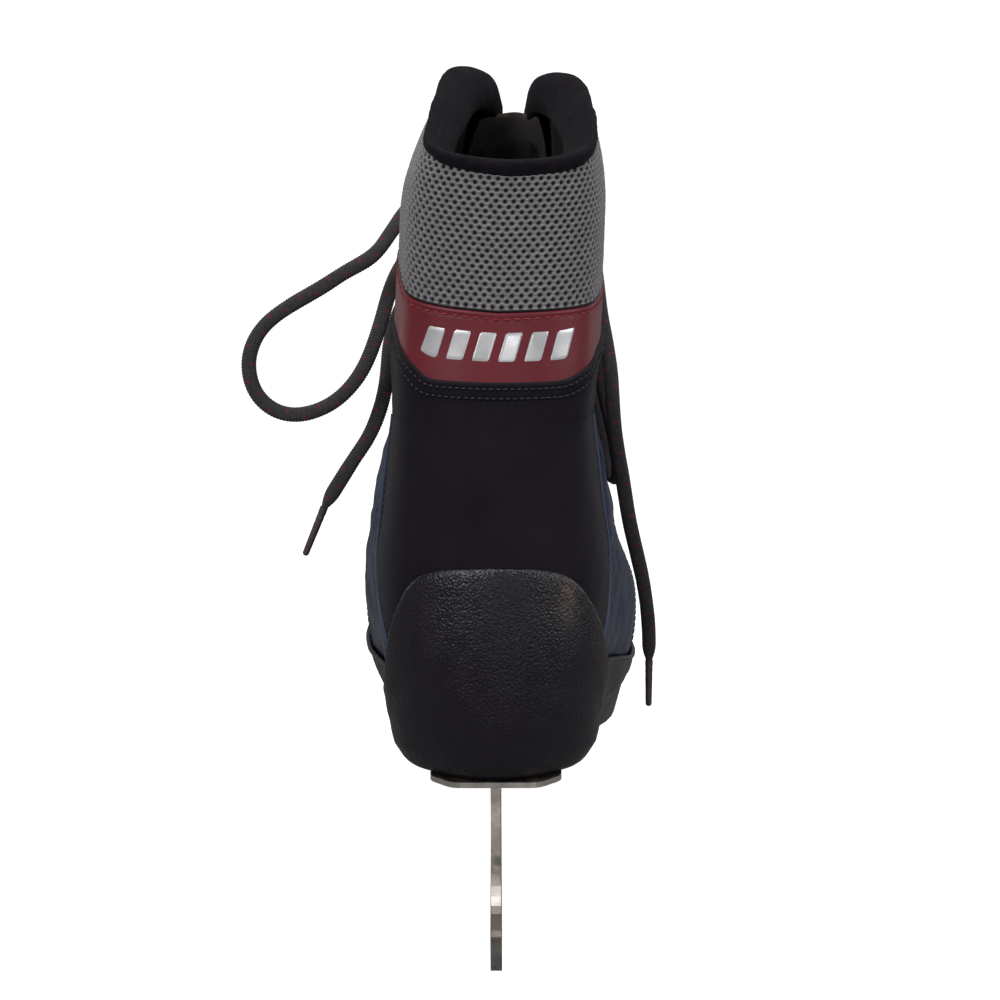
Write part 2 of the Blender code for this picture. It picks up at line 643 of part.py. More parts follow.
edge = [(-21.0, runner_z(-21) + 1.2), (-21.6, RUNNER_H)]
edge += [(y, RUNNER_H + 0.3) for y in (40.0, 120.0, 200.0)] + [(247.0, RUNNER_H - 1.5), (251.0, 4.4), (249.5, runner_z(249.5))]
edge += [(y, runner_z(y)) for y in (230, 210, 190, 170, 110, 90, 70, 45, 20, -5, -19.5)]
cut(blade, cutter('runner_strip', flat_plate('runner_strip', [edge], RUNNER / 2, YZ)), 'UNION')

# ---------------------------------------------------------------- outer panels
EDGE = 0.25          # degrees left open each side of a butted seam


def between(lo, hi, t):
    return lo + (hi - lo) * t


def side_panel(name, kind, sign, nv, nh):
    """Quarter: from the heel panel seam to the vamp and eyestay seams, sole to ankle band."""
    def fn(s, t):
        v = between(0.5, 9.0, t)
        for _ in range(8):
            th = between(th_heel(v) + EDGE * 1.4, th_quarter_front(v) - EDGE, s)
            v = between(v_foot(sign * th), QUARTER_TOP - 0.02, t)
        return pt(sign * th, v)
    if sign < 0:
        return sheet(name, kind, lambda s, t: fn(1 - s, t), nh, nv, LEATHER)
    return sheet(name, kind, fn, nh, nv, LEATHER)


side_panel('quarter_lateral', 'navy_leather', 1, 13, 9)
side_panel('quarter_medial', 'navy_leather', -1, 13, 9)


def heel_panel_surface():
    """Heel panel: upright part between the quarters, with a wing on each side along the ankle band."""
    bm = bmesh.new()
    low_rows, high_rows, cols, wing_cols = 9, 2, 14, 8

    def grid(ths, rows):
        return [[bm.verts.new(to_world(pt(th, v))) for th, v in zip(row_th, row_v)] for row_th, row_v in zip(ths, rows)]
    ths, vs = [], []
    for j in range(low_rows + high_rows + 1):
        row_t, row_v = [], []
        for i in range(cols + 1):
            s = i / cols
            v = between(0.5, 8.8, j / (low_rows + high_rows))
            for _ in range(8):
                half = th_heel(min(v, QUARTER_TOP)) - EDGE
                th = between(-half, half, s)
                if j <= low_rows:
                    v = between(v_foot(th), QUARTER_TOP + 0.02, j / low_rows)
                else:
                    v = between(QUARTER_TOP + 0.02, v_band_low(th) - 0.02, (j - low_rows) / high_rows)
            row_t.append(th)
            row_v.append(v)
        ths.append(row_t)
        vs.append(row_v)
    main = grid(ths, vs)
    for a, b in zip(main, main[1:]):
        for i in range(cols):
            bm.faces.new((a[i], a[i + 1], b[i + 1], b[i]))
    for sign, col in ((1, cols), (-1, 0)):
        wing = []
        for j in range(low_rows, low_rows + high_rows + 1):
            row = [main[j][col]]
            start = abs(ths[j][col])
            for i in range(1, wing_cols + 1):
                th = sign * between(start, EYESTAY_BACK - 1.3, i / wing_cols)
                v = between(QUARTER_TOP + 0.02, v_band_low(th) - 0.02, (j - low_rows) / high_rows)
                row.append(bm.verts.new(to_world(pt(th, v))))
            wing.append(row)
        for a, b in zip(wing, wing[1:]):
            for i in range(wing_cols):
                quad = (a[i], a[i + 1], b[i + 1], b[i])
                bm.faces.new(quad if sign > 0 else tuple(reversed(quad)))
    me = bpy.data.meshes.new('heel_panel')
    bm.to_mesh(me)
    bm.free()
    for f in me.polygons:
        f.use_smooth = True
    ob = make_object('heel_panel', me, 'nubuck')
    m = ob.modifiers.new('thickness', 'SOLIDIFY')
    m.thickness = LEATHER * MM
    m.offset = -1.0
    m.use_even_offset = True
    m.use_rim = True


heel_panel_surface()


def around(s, half):
    return between(-half, half, s)


def band_fn(s, t):
    th = around(s, EYESTAY_BACK - EDGE)
    return pt(th, between(v_band_low(th) + 0.02, v_band_top(th) - 0.015, t))


def cuff_fn(s, t):
    th = around(s, EYESTAY_BACK - EDGE)
    return pt(th, between(v_band_top(th) + 0.015, v_cuff_top(th), t))


sheet('ankle_band', 'burgundy', band_fn, 30, 3, LEATHER)
sheet('cuff_mesh', 'grey_mesh', cuff_fn, 30, 5, LEATHER)


def vamp_fn(s, t):
    v = between(0.5, 5.5, t)
    for _ in range(10):
        q = th_quarter_front(min(v, 5.95)) + EDGE
        th = between(q, 360.0 - q, s)
        v = between(v_cap(th) + 0.06, v_vamp_top(th), t)
    return pt(th, v)


def cap_fn(s, t):
    th = 180.0 + between(-61.0, 61.0, s)
    return pt(th, between(v_foot(th), v_cap(th), t))


sheet('vamp', 'navy_leather', vamp_fn, 28, 10, LEATHER)
sheet('toe_cap', 'navy_leather', cap_fn, 22, 8, LEATHER)

# ---------------------------------------------------------------- linings
LIN = -(LEATHER + LINING_GAP)
sheet('vamp_lining', 'black_fleece', lambda s, t: pt(-180.0 + 360.0 * s, between(v_foot(-180.0 + 360.0 * s), 5.3, t), LIN - 1.4),
      2 * HALF, 6, LINING, wrap_i=True)


def ankle_lining_fn(s, t):
    th = around(s, (EYESTAY_BACK - EDGE) * 28 / 30)
    return pt(th, between(5.36, v_cuff_top(th) - 0.02, t), LIN - 0.2)


sheet('ankle_lining', 'black_fleece', ankle_lining_fn, 28, 8, LINING)

# ---------------------------------------------------------------- collar roll
bm = bmesh.new()
secs = []
NC, NS = 40, 10
for i in range(NC + 1):
    th = around(i / NC, 171.5)
    mid, half = collar(th)
    shrink = pchip(abs(th), [(160, 1.0), (168, 0.8), (171.5, 0.45)])
    ring = []
    for k in range(NS):
        a = math.tau * k / NS
        ring.append(bm.verts.new(to_world(pt(th, mid + half * math.sin(a), -2.6 + 4.0 * shrink * math.cos(a)))))
    secs.append(ring)
for a, b in zip(secs, secs[1:]):
    for k in range(NS):
        m = (k + 1) % NS
        bm.faces.new((a[k], b[k], b[m], a[m]))
bm.faces.new(secs[0])
bm.faces.new(secs[-1])
bmesh.ops.recalc_face_normals(bm, faces=bm.faces)
make_object('collar_pad', finish_mesh(bm, 'collar_pad'), 'black_fleece')

# ---------------------------------------------------------------- eyestays, eyelets and hooks
EYE_TH = 157.0
EYE_V = [6.35, 6.95, 7.6, 8.35, 9.15]
HOOK_V = [10.1, 11.0]


def eyestay_fn(sign):
    def fn(s, t):
        th = between(EYESTAY_BACK + EDGE, THROAT, s)
        lo = pchip(th, [(146, 5.96), (THROAT, 5.78)])
        hi = pchip(th, [(146, v_cuff_top(146.0) - 0.02), (THROAT, 12.25)])
        return pt(sign * th, between(lo, hi, t))
    return fn if sign > 0 else (lambda s, t: fn(1 - s, t))


for label, sign in (('lateral', 1), ('medial', -1)):
    stay = sheet('eyestay_' + label, 'navy_leather', eyestay_fn(sign), 4, 20, LEATHER)
    holes = bmesh.new()
    for n, v in enumerate(EYE_V, 1):
        o, ax = pt(sign * EYE_TH, v), normal(sign * EYE_TH, v)
        prof = [(EYELET_BORE, 1.1), (4.0, 1.0), (4.2, 0.7), (4.1, 0.35), (EYELET_BORE + 0.45, 0.3), (EYELET_BORE + 0.45, -2.0),
                (EYELET_BORE, -2.0)]
        make_object('eyelet_%s_%d' % (label, n), turned('eyelet_%s_%d' % (label, n), prof, o, ax, 10), 'black_metal')
        hole = turned('hole', [(0.0, 3.0), (EYELET_BORE + 0.8, 3.0), (EYELET_BORE + 0.8, -4.5), (0.0, -4.5)], o, ax, 10)
        holes.from_mesh(hole)
    me = bpy.data.meshes.new('eyelet_holes_' + label)
    holes.to_mesh(me)
    holes.free()
    cut(stay, cutter('eyelet_holes_' + label, me))
    for n, v in enumerate(HOOK_V, 1):
        o, ax = pt(sign * EYE_TH, v), normal(sign * EYE_TH, v)
        prof = [(0.0, 6.2), (2.6, 6.0), (3.2, 5.4), (2.8, 4.9), (1.5, 4.6), (1.5, 1.3), (3.8, 1.0), (4.0, 0.35), (0.0, 0.35)]
        make_object('hook_%s_%d' % (label, n), turned('hook_%s_%d' % (label, n), prof, o, ax, 10), 'black_metal')

# ---------------------------------------------------------------- tongue
def tongue_d(v):
    return pchip(v, [(5.0, -5.9), (9.0, -5.9), (11.5, -7.6), (13.0, -7.8)])


def tongue_fn(spread, low, high, extra):
    def fn(s, t):
        v = between(low, high, t)
        w = spread * pchip(v, [(5.2, 0.86), (7.0, 1.0), (11.8, 1.0), (12.6, 0.82)])
        th = 180.0 + between(-w, w, s)
        return pt(th, v, tongue_d(v) - extra)
    return fn


sheet('tongue', 'nubuck', tongue_fn(44.0, 5.4, 12.6, 0.0), 10, 13, 1.6)
sheet('tongue_pad', 'black_fleece', tongue_fn(40.0, 5.7, 12.35, 2.5), 8, 11, 4.2)
sheet('tongue_loop', 'nubuck', lambda s, t: pt(180.0 + between(-12.0, 12.0, s), between(9.45, 9.75, t), tongue_d(9.6) + 1.6), 4, 2, 1.1)

# ---------------------------------------------------------------- laces
def lay(points):
    return [pt(th, v, d) for th, v, d in points]


def cross(th0, v0, d0, th1, v1, d1, bump, n=6):
    """Lace across the throat from one side to the other, following the boot, lifted by bump in the middle."""
    out = []
    for i in range(1, n):
        t = i / n
        e = t * t * (3 - 2 * t)
        out.append((between(th0, th1, t), between(v0, v1, t), between(d0, d1, e) + bump * math.sin(math.pi * t)))
    return out


def strand(first, lift):
    """One half of the lace, from the middle of the bottom bar to just before the knot.
    first: +1 starts towards the lateral side. lift separates it from the other strand where they cross."""
    def th(side, a):
        return a if side > 0 else 360.0 - a
    side = first
    v = EYE_V[0]
    path = [(180.0, v, 2.4), (th(side, 170.0), v, 2.4), (th(side, 163.0), v, 2.9), (th(side, EYE_TH + 1.5), v, 2.9),
            (th(side, EYE_TH), v, 1.2), (th(side, EYE_TH), v, -1.6), (th(side, EYE_TH + 1.2), v + 0.02, -3.7)]
    level = -3.9
    for i in range(1, len(EYE_V)):
        nxt = EYE_V[i]
        start = (th(side, 166.0), v + (nxt - v) * 0.22, level if i == 1 else 2.3)
        other = -side
        end = (th(other, 166.0), v + (nxt - v) * 0.78, -3.9)
        path.append(start)
        path += cross(*start, *end, lift + (1.5 if i == 1 else 0.0))
        path.append(end)
        path += [(th(other, EYE_TH + 1.2), nxt - 0.02, -3.7), (th(other, EYE_TH), nxt, -1.6), (th(other, EYE_TH), nxt, 1.2),
                 (th(other, EYE_TH + 1.5), nxt + 0.02, 2.9)]
        side, v = other, nxt
    for i, nxt in enumerate(HOOK_V):
        other = -side
        start = (th(side, 166.0), v + (nxt - v) * 0.22, 2.9)
        end = (th(other, 163.0), nxt - 0.2, 3.1)
        path.append(start)
        path += cross(*start, *end, lift, 5)
        path.append(end)
        path += [(th(other, EYE_TH + 1.0), nxt - 0.17, 3.1), (th(other, EYE_TH - 5.2), nxt - 0.06, 3.1),
                 (th(other, EYE_TH - 5.2), nxt + 0.06, 3.1), (th(other, EYE_TH + 1.0), nxt + 0.17, 3.1)]
        side, v = other, nxt
    path.append((th(side, 170.0), v + 0.33, 4.4))
    return path


KNOT_V = 11.42
a_side = strand(1, 1.6)
b_side = strand(-1, -1.3)
tube('lace_laced', 'lace', lay(list(reversed(a_side)) + b_side[1:]), LACE_R)

knot_c = pt(180.0, KNOT_V, 5.6)
bm = bmesh.new()
bmesh.ops.create_uvsphere(bm, u_segments=14, v_segments=9, radius=1.0)
bm.transform(Matrix.Translation(to_world(knot_c)) @ Matrix.Diagonal((6.2 * MM, 4.6 * MM, 4.8 * MM, 1.0)))
make_object('lace_knot', finish_mesh(bm, 'lace_knot'), 'lace')

KX, KY, KZ = knot_c
LOOP_LEFT = [(KX - 8.6, KY + 1.0, KZ + 2.5), (-9.0, 120.5, 261.0), (-20.0, 108.0, 260.0), (-30.5, 90.0, 256.5), (-37.0, 72.0, 249.5),
             (-43.4, 62.5, 241.4), (-53.7, 60.0, 235.7), (-62.5, 60.0, 230.0), (-72.7, 60.0, 224.2), (-81.6, 60.0, 218.0),
             (-87.0, 60.0, 211.0), (-89.3, 60.0, 202.0), (-87.0, 60.0, 192.0), (-80.5, 60.0, 185.5), (-72.3, 60.0, 183.5),
             (-63.5, 60.0, 185.6), (-56.6, 60.5, 189.6), (-50.9, 61.0, 195.5), (-46.8, 62.5, 202.0), (-43.4, 65.0, 210.5),
             (-40.8, 68.5, 218.5), (-38.9, 74.0, 225.5), (-35.0, 88.0, 234.0), (-27.0, 104.0, 243.0), (-15.5, 118.0, 250.5),
             (KX - 8.8, KY + 2.0, KZ - 1.5)]
LOOP_RIGHT = [(KX + 8.8, KY + 2.0, KZ - 1.2), (20.0, 126.0, 247.0), (30.0, 117.5, 233.0), (36.0, 107.0, 217.0), (38.2, 99.5, 202.0),
              (39.4, 96.5, 188.0), (43.0, 96.0, 174.0), (46.6, 97.5, 160.0), (47.5, 103.0, 150.0), (45.5, 112.5, 147.0),
              (41.5, 120.0, 158.0), (37.0, 122.5, 178.0), (32.0, 124.5, 200.0), (26.0, 128.5, 220.0), (17.0, 133.0, 238.0),
              (KX + 7.0, KY + 4.0, KZ - 6.0)]
END_LEFT = [(KX - 6.8, KY + 3.6, KZ - 5.0), (-12.0, 128.0, 243.0), (-24.0, 117.0, 232.0), (-33.0, 102.0, 222.0), (-37.6, 88.0, 212.0),
            (-39.4, 80.0, 203.0), (-40.3, 76.0, 192.0), (-43.0, 73.0, 181.7), (-47.0, 71.0, 172.8), (-51.2, 70.0, 166.9),
            (-56.9, 70.0, 157.9), (-62.5, 70.0, 148.9)]
AGLET_LEFT = [(-63.2, 70.0, 147.6), (-70.6, 70.0, 129.6)]
END_RIGHT = [(KX + 8.2, KY + 0.5, KZ + 4.6), (18.0, 123.5, 262.0), (27.5, 114.0, 254.0), (33.5, 103.0, 243.0), (36.8, 93.0, 231.0),
             (38.2, 86.5, 220.0), (40.0, 80.0, 209.0), (41.8, 74.0, 199.0), (42.4, 71.0, 189.0), (43.4, 72.0, 176.0), (46.5, 77.0, 156.0),
             (48.9, 80.0, 140.6), (51.8, 85.0, 127.3), (54.6, 90.0, 114.0), (56.6, 96.0, 98.0), (57.0, 99.5, 84.0)]
AGLET_RIGHT = [(57.0, 99.8, 82.5), (56.9, 100.4, 64.5)]

tube('lace_loop_left', 'lace', smooth_path(LOOP_LEFT, 2), CORD_R)
tube('lace_loop_right', 'lace', smooth_path(LOOP_RIGHT, 2), CORD_R)
tube('lace_end_left', 'lace', smooth_path(END_LEFT, 2), CORD_R)
tube('lace_end_right', 'lace', smooth_path(END_RIGHT, 2), CORD_R)
tube('aglet_left', 'aglet', [Vector(p) for p in AGLET_LEFT], 1.4)
tube('aglet_right', 'aglet', [Vector(p) for p in AGLET_RIGHT], 1.4)

# ---------------------------------------------------------------- tongue pivot
pivot = bpy.data.objects.new('tongue_pivot', None)
SKATE.objects.link(pivot)
pivot.location = to_world((0.0, TONGUE_PIVOT[0], TONGUE_PIVOT[1]))
pivot.empty_display_size = 0.01
bpy.context.view_layer.update()
for child in ('tongue', 'tongue_pad', 'tongue_loop'):
    ob = bpy.data.objects[child]
    ob.parent = pivot
    ob.matrix_parent_inverse = pivot.matrix_world.inverted()
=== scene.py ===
"""Looks of a right-foot ice skate: padded lace-up boot, moulded cup sole, nickel plates and steel blade.

Design coordinates are millimetres: X to the lateral side, Y from the heel to the toe, Z up from the tail
of the runner. Pieces are built on the boot's ring surface, then moved to the shared frame in metres.
"""
import bpy
import math
import numpy as np
from mathutils import Matrix, Vector

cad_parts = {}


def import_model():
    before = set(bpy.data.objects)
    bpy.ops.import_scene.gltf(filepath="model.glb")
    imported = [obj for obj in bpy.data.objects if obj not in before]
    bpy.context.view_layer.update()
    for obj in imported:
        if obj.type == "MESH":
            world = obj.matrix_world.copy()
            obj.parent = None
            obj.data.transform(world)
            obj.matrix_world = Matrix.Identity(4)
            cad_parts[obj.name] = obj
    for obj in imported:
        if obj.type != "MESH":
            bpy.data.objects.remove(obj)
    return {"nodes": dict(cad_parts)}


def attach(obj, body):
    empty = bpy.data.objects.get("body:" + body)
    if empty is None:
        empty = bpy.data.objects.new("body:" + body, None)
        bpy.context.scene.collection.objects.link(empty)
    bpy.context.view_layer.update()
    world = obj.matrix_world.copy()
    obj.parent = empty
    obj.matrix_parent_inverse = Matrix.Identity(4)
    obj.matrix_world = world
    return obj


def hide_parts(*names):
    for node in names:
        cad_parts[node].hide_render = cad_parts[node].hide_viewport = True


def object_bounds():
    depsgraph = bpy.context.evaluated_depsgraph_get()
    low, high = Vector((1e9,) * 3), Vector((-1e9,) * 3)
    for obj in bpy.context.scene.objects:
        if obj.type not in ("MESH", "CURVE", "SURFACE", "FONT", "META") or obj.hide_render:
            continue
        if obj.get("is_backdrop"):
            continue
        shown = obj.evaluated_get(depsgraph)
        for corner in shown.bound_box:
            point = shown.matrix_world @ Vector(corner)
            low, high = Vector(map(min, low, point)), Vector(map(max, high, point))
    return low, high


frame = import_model()
NODES = frame["nodes"]
rng = np.random.default_rng(7)
_lo, _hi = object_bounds()
SIZE = {"cad_low": list(_lo), "cad_high": list(_hi)}

# ---------------------------------------------------------------- camera
AZ, EL, ROLL, DIST = math.radians(-0.8), math.radians(11.0), math.radians(0.3), 1.2
TARGET = Vector((0.0023, -0.140, 0.16727))
back = Vector((-math.sin(AZ) * math.cos(EL), -math.cos(AZ) * math.cos(EL), math.sin(EL)))
right = Vector((math.cos(AZ), -math.sin(AZ), 0.0))
upv = right.cross(-back)
right_r = right * math.cos(ROLL) - upv * math.sin(ROLL)
up_r = right * math.sin(ROLL) + upv * math.cos(ROLL)
cam_data = bpy.data.cameras.new("camera")
cam_data.sensor_width = 36.0
cam_data.lens = 124.85
cam_data.clip_start, cam_data.clip_end = 0.01, 50.0
cam = bpy.data.objects.new("camera", cam_data)
bpy.context.scene.collection.objects.link(cam)
cam.matrix_world = Matrix((
    (right_r.x, up_r.x, back.x, TARGET.x + back.x * DIST),
    (right_r.y, up_r.y, back.y, TARGET.y + back.y * DIST),
    (right_r.z, up_r.z, back.z, TARGET.z + back.z * DIST),
    (0, 0, 0, 1)))
bpy.context.scene.camera = cam

# ---------------------------------------------------------------- boot surface, as in the CAD source
MM = 0.001
LEATHER, LINING, LAYER_GAP, LINING_GAP, CUP_GAP, CUP_WALL = 1.8, 2.5, 0.3, 0.7, 0.9, 3.0
HEEL_BOTTOM, BALL_BOTTOM, HEEL_FLOOR, BALL_FLOOR, BOARD = 60.0, 48.0, 78.0, 62.0, 1.6
RINGS = [
    ((9.0, 66.0, 0.0), (286.0, 54.0, -6.0), (27.6, 31.8, 44.5, 44.0, 24.0), (-28.5, -32.6, -42.0, -48.0, -35.0)),
    ((5.0, 84.0, 0.0), (289.5, 69.5, -6.0), (30.6, 36.8, 51.0, 49.0, 28.0), (-31.4, -37.6, -49.3, -51.5, -37.0)),
    ((3.0, 100.0, 0.0), (284.5, 87.5, -6.0), (32.5, 41.5, 52.5, 49.0, 27.0), (-33.0, -42.5, -52.0, -50.0, -34.0)),
    ((2.6, 113.0, 0.0), (267.0, 101.0, -5.0), (32.5, 42.0, 51.0, 46.0, 25.0), (-33.0, -43.5, -52.0, -47.0, -30.0)),
    ((3.0, 126.0, 0.0), (241.0, 110.5, -4.0), (31.0, 41.8, 48.5, 41.5, 22.0), (-32.0, -43.8, -50.5, -43.0, -26.0)),
    ((4.0, 140.0, 0.0), (213.0, 122.5, -3.0), (30.0, 40.5, 44.8, 37.0, 19.0), (-31.0, -42.5, -48.5, -39.0, -22.0)),
    ((6.0, 155.0, 0.0), (184.5, 139.5, -2.0), (28.0, 38.0, 42.0, 34.0, 17.0), (-29.0, -40.2, -46.0, -36.0, -19.0)),
    ((8.5, 171.0, 0.0), (160.0, 160.0, -1.0), (26.5, 35.5, 39.0, 31.5, 16.0), (-27.5, -37.6, -41.6, -33.0, -17.0)),
    ((11.5, 188.0, 0.0), (141.0, 184.0, 0.0), (26.0, 33.6, 35.4, 29.6, 16.0), (-26.5, -35.2, -36.8, -30.0, -16.0)),
    ((13.5, 205.0, 0.5), (129.0, 206.0, 1.0), (27.0, 35.6, 37.0, 30.5, 16.5), (-25.5, -34.8, -36.8, -29.5, -15.0)),
    ((14.5, 224.0, 1.2), (121.0, 228.0, 2.0), (27.2, 36.8, 38.0, 31.0, 17.5), (-24.5, -33.6, -35.3, -28.0, -14.0)),
    ((14.0, 244.0, 2.5), (116.0, 250.0, 3.5), (28.0, 37.8, 38.6, 31.8, 18.5), (-23.5, -32.4, -34.0, -27.0, -13.0)),
    ((13.0, 262.0, 4.0), (113.0, 272.0, 5.0), (28.5, 38.2, 39.0, 32.4, 19.5), (-22.0, -30.8, -32.3, -25.5, -11.0)),
    ((12.0, 276.0, 5.5), (111.0, 296.0, 6.5), (28.0, 36.5, 36.6, 31.0, 19.6), (-19.9, -26.8, -25.6, -20.0, -8.4)),
    ((12.0, 286.0, 6.5), (110.0, 318.0, 7.4), (25.4, 31.6, 30.6, 27.4, 18.7), (-15.6, -19.2, -17.6, -13.6, -5.6)),
]
TOP = len(RINGS) - 1


def pchip(x, nodes):
    xs = np.array([a for a, _ in nodes], float)
    ys = np.array([b for _, b in nodes], float)
    h = np.diff(xs)
    s = np.diff(ys) / h
    m = np.zeros(len(xs))
    for i in range(1, len(xs) - 1):
        if s[i - 1] * s[i] > 0:
            w1, w2 = 2 * h[i] + h[i - 1], h[i] + 2 * h[i - 1]
            m[i] = (w1 + w2) / (w1 / s[i - 1] + w2 / s[i])
    m[0], m[-1] = s[0], s[-1]
    x = np.clip(np.asarray(x, float), xs[0], xs[-1])
    i = np.clip(np.searchsorted(xs, x, side="right") - 1, 0, len(xs) - 2)
    t = (x - xs[i]) / h[i]
    t2, t3 = t * t, t * t * t
    return (ys[i] * (2 * t3 - 3 * t2 + 1) + m[i] * h[i] * (t3 - 2 * t2 + t)
            + ys[i + 1] * (-2 * t3 + 3 * t2) + m[i + 1] * h[i] * (t3 - t2))


def cubic(p0, p1, p2, p3, t):
    return p1 + 0.5 * t * (p2 - p0 + t * (2 * p0 - 5 * p1 + 4 * p2 - p3 + t * (3 * (p1 - p2) + p3 - p0)))


BACK = np.array([r[0] for r in RINGS])      # y, z, x
FRONT = np.array([r[1] for r in RINGS])
WIDTHS = np.zeros((len(RINGS), 2, 9))
for _k, _r in enumerate(RINGS):
    for _s, _xs in ((0, _r[2]), (1, _r[3])):
        _w = []
        for _i, _x in enumerate(_xs):
            _a = math.radians(30 * (_i + 1))
            _t = (1 - math.cos(_a)) / 2
            _w.append(abs(_x - (_r[0][2] + (_r[1][2] - _r[0][2]) * _t)) / math.sin(_a))
        _w = [_w[0] + 0.25 * (_w[0] - _w[1])] + _w + [_w[4] + 0.25 * (_w[4] - _w[3])]
        WIDTHS[_k, _s] = [_w[1]] + _w + [_w[5]]


def wrap(th):
    return (np.asarray(th, float) + 180.0) % 360.0 - 180.0


def ring_point(k, th):
    a = np.abs(th)
    side = np.where(th >= 0, 1.0, -1.0)
    si = (th < 0).astype(int)
    rad = np.radians(a)
    t = (1 - np.cos(rad)) / 2
    f = np.clip(a / 30.0, 0.0, 5.9999)
    i = f.astype(int)
    w = cubic(WIDTHS[k, si, i], WIDTHS[k, si, i + 1], WIDTHS[k, si, i + 2], WIDTHS[k, si, i + 3], f - i)
    b, e = BACK[k], FRONT[k]
    return np.stack([b[..., 2] + (e[..., 2] - b[..., 2]) * t + side * w * np.sin(rad),
                     b[..., 0] + (e[..., 0] - b[..., 0]) * t, b[..., 1] + (e[..., 1] - b[..., 1]) * t], -1)


def surf(th, v):
    th, v = np.broadcast_arrays(wrap(th), np.asarray(v, float))
    vv = np.clip(v, 0.0, TOP - 1e-6)
    i = vv.astype(int)
    a, b = ring_point(i, th), ring_point(i + 1, th)
    p0 = np.where((i > 0)[..., None], ring_point(np.maximum(i - 1, 0), th), a * 2 - b)
    p3 = np.where((i + 2 <= TOP)[..., None], ring_point(np.minimum(i + 2, TOP), th), b * 2 - a)
    p = cubic(p0, a, b, p3, (vv - i)[..., None])
    p = np.where((v < 0)[..., None], a + (b - a) * v[..., None], p)
    return np.where((v > TOP)[..., None], b + (b - a) * (v - TOP)[..., None], p)


def normal(th, v):
    du = surf(th + 0.6, v) - surf(th - 0.6, v)
    dv = surf(th, v + 0.04) - surf(th, v - 0.04)
    n = np.cross(du, dv)
    return n / np.linalg.norm(n, axis=-1, keepdims=True)


def pt(th, v, d=0.0):
    th, v, d = np.broadcast_arrays(np.asarray(th, float), np.asarray(v, float), np.asarray(d, float))
    return surf(th, v) + normal(th, v) * d[..., None]


def world(p):
    p = np.asarray(p, float)
    return np.stack([p[..., 0], p[..., 1] - 140.0, p[..., 2] + 3.5], -1) * MM


def floor_z(y):
    return pchip(y, [(78, HEEL_FLOOR), (100, HEEL_FLOOR - 3.4), (128, BALL_FLOOR + 2.6), (150, BALL_FLOOR),
                     (225, BALL_FLOOR), (262, BALL_FLOOR + 0.9), (292, BALL_FLOOR + 3.2)])


def bottom_z(y):
    return pchip(y, [(80, HEEL_BOTTOM), (96, HEEL_BOTTOM - 2.6), (122, BALL_BOTTOM + 2.0), (140, BALL_BOTTOM),
                     (226, BALL_BOTTOM), (258, BALL_BOTTOM + 1.4), (292, BALL_BOTTOM + 5.5)])


def v_at_floor(th, above):
    th = np.asarray(th, float)
    lo, hi = np.full(th.shape, -0.5), np.full(th.shape, 2.5)
    for _ in range(20):
        mid = (lo + hi) / 2
        p = surf(th, mid)
        under = p[..., 2] - floor_z(p[..., 1]) < above
        lo, hi = np.where(under, mid, lo), np.where(under, hi, mid)
    return (lo + hi) / 2


_FOOT_TH = np.linspace(-180.0, 180.0, 1441)
_FOOT_V = v_at_floor(_FOOT_TH, BOARD + 1.4)


def v_foot(th):
    return np.interp(wrap(th), _FOOT_TH, _FOOT_V)


def signed(th, lateral, medial):
    a = wrap(th)
    return np.where(a >= 0, pchip(np.abs(a), lateral), pchip(np.abs(a), medial))


def v_fox(th):
    return signed(th,
                  [(0, 4.9), (12, 4.86), (21, 4.70), (27, 4.36), (32, 3.7), (35, 2.9), (38, 2.1), (42, 1.65), (50, 1.55), (60, 1.5), (74, 1.2),
                   (91, 0.8), (112, 0.66), (135, 0.82), (180, 1.05)],
                  [(0, 4.9), (12, 4.86), (20, 4.74), (26, 4.42), (30, 3.8), (33, 2.9), (36, 1.9), (40, 1.4), (60, 1.25), (79, 1.1),
                   (97, 0.98), (120, 0.9), (145, 0.95), (180, 1.05)])


def v_band_low(th):
    return signed(th, [(0, 8.88), (24, 8.87), (37, 9.02), (52, 9.2), (65, 9.32), (90, 9.45), (120, 9.62), (180, 9.9)],
                  [(0, 8.88), (24, 8.91), (35, 9.17), (50, 9.45), (65, 9.62), (90, 9.78), (120, 9.95), (180, 10.2)])


def v_band_top(th):
    return signed(th, [(0, 10.16), (37, 10.17), (65, 10.24), (90, 10.38), (120, 10.55), (180, 10.9)],
                  [(0, 10.16), (37, 10.32), (65, 10.62), (90, 10.82), (120, 10.98), (180, 11.2)])


def collar(th):
    low = signed(th, [(0, 12.84), (30, 12.88), (45, 13.00), (60, 13.14), (80, 13.25), (95, 13.25), (120, 13.10), (146, 12.85), (150, 12.72),
                      (158, 12.46), (163, 12.34), (172, 12.22)],
                 [(0, 12.84), (22, 13.04), (35, 13.26), (60, 13.45), (75, 13.51), (90, 13.51), (120, 13.30), (146, 12.95), (150, 12.86),
                  (158, 12.64), (163, 12.50), (172, 12.36)])
    high = signed(th, [(0, 13.48), (45, 13.52), (90, 13.70), (120, 13.70), (138, 13.60), (150, 13.44), (160, 13.18), (167, 12.80)],
                  [(0, 13.48), (45, 13.74), (90, 13.90), (120, 13.86), (138, 13.72), (150, 13.54), (163, 13.24), (172, 12.80)])
    return (low + high) / 2, (high - low) / 2


def v_cuff_top(th):
    mid, half = collar(np.clip(wrap(th), -146.0, 146.0))
    return mid - half - 0.03


def th_heel(v):
    return pchip(v, [(0.5, 35.0), (2.4, 37.0), (3.0, 41.0), (3.6, 48.0), (4.2, 54.5), (4.8, 58.5), (6.3, 63.0), (8.0, 70.0), (9.6, 76.0)])


EYESTAY_BACK, THROAT, QUARTER_TOP, EYE_TH = 146.0, 167.0, 8.02, 157.0


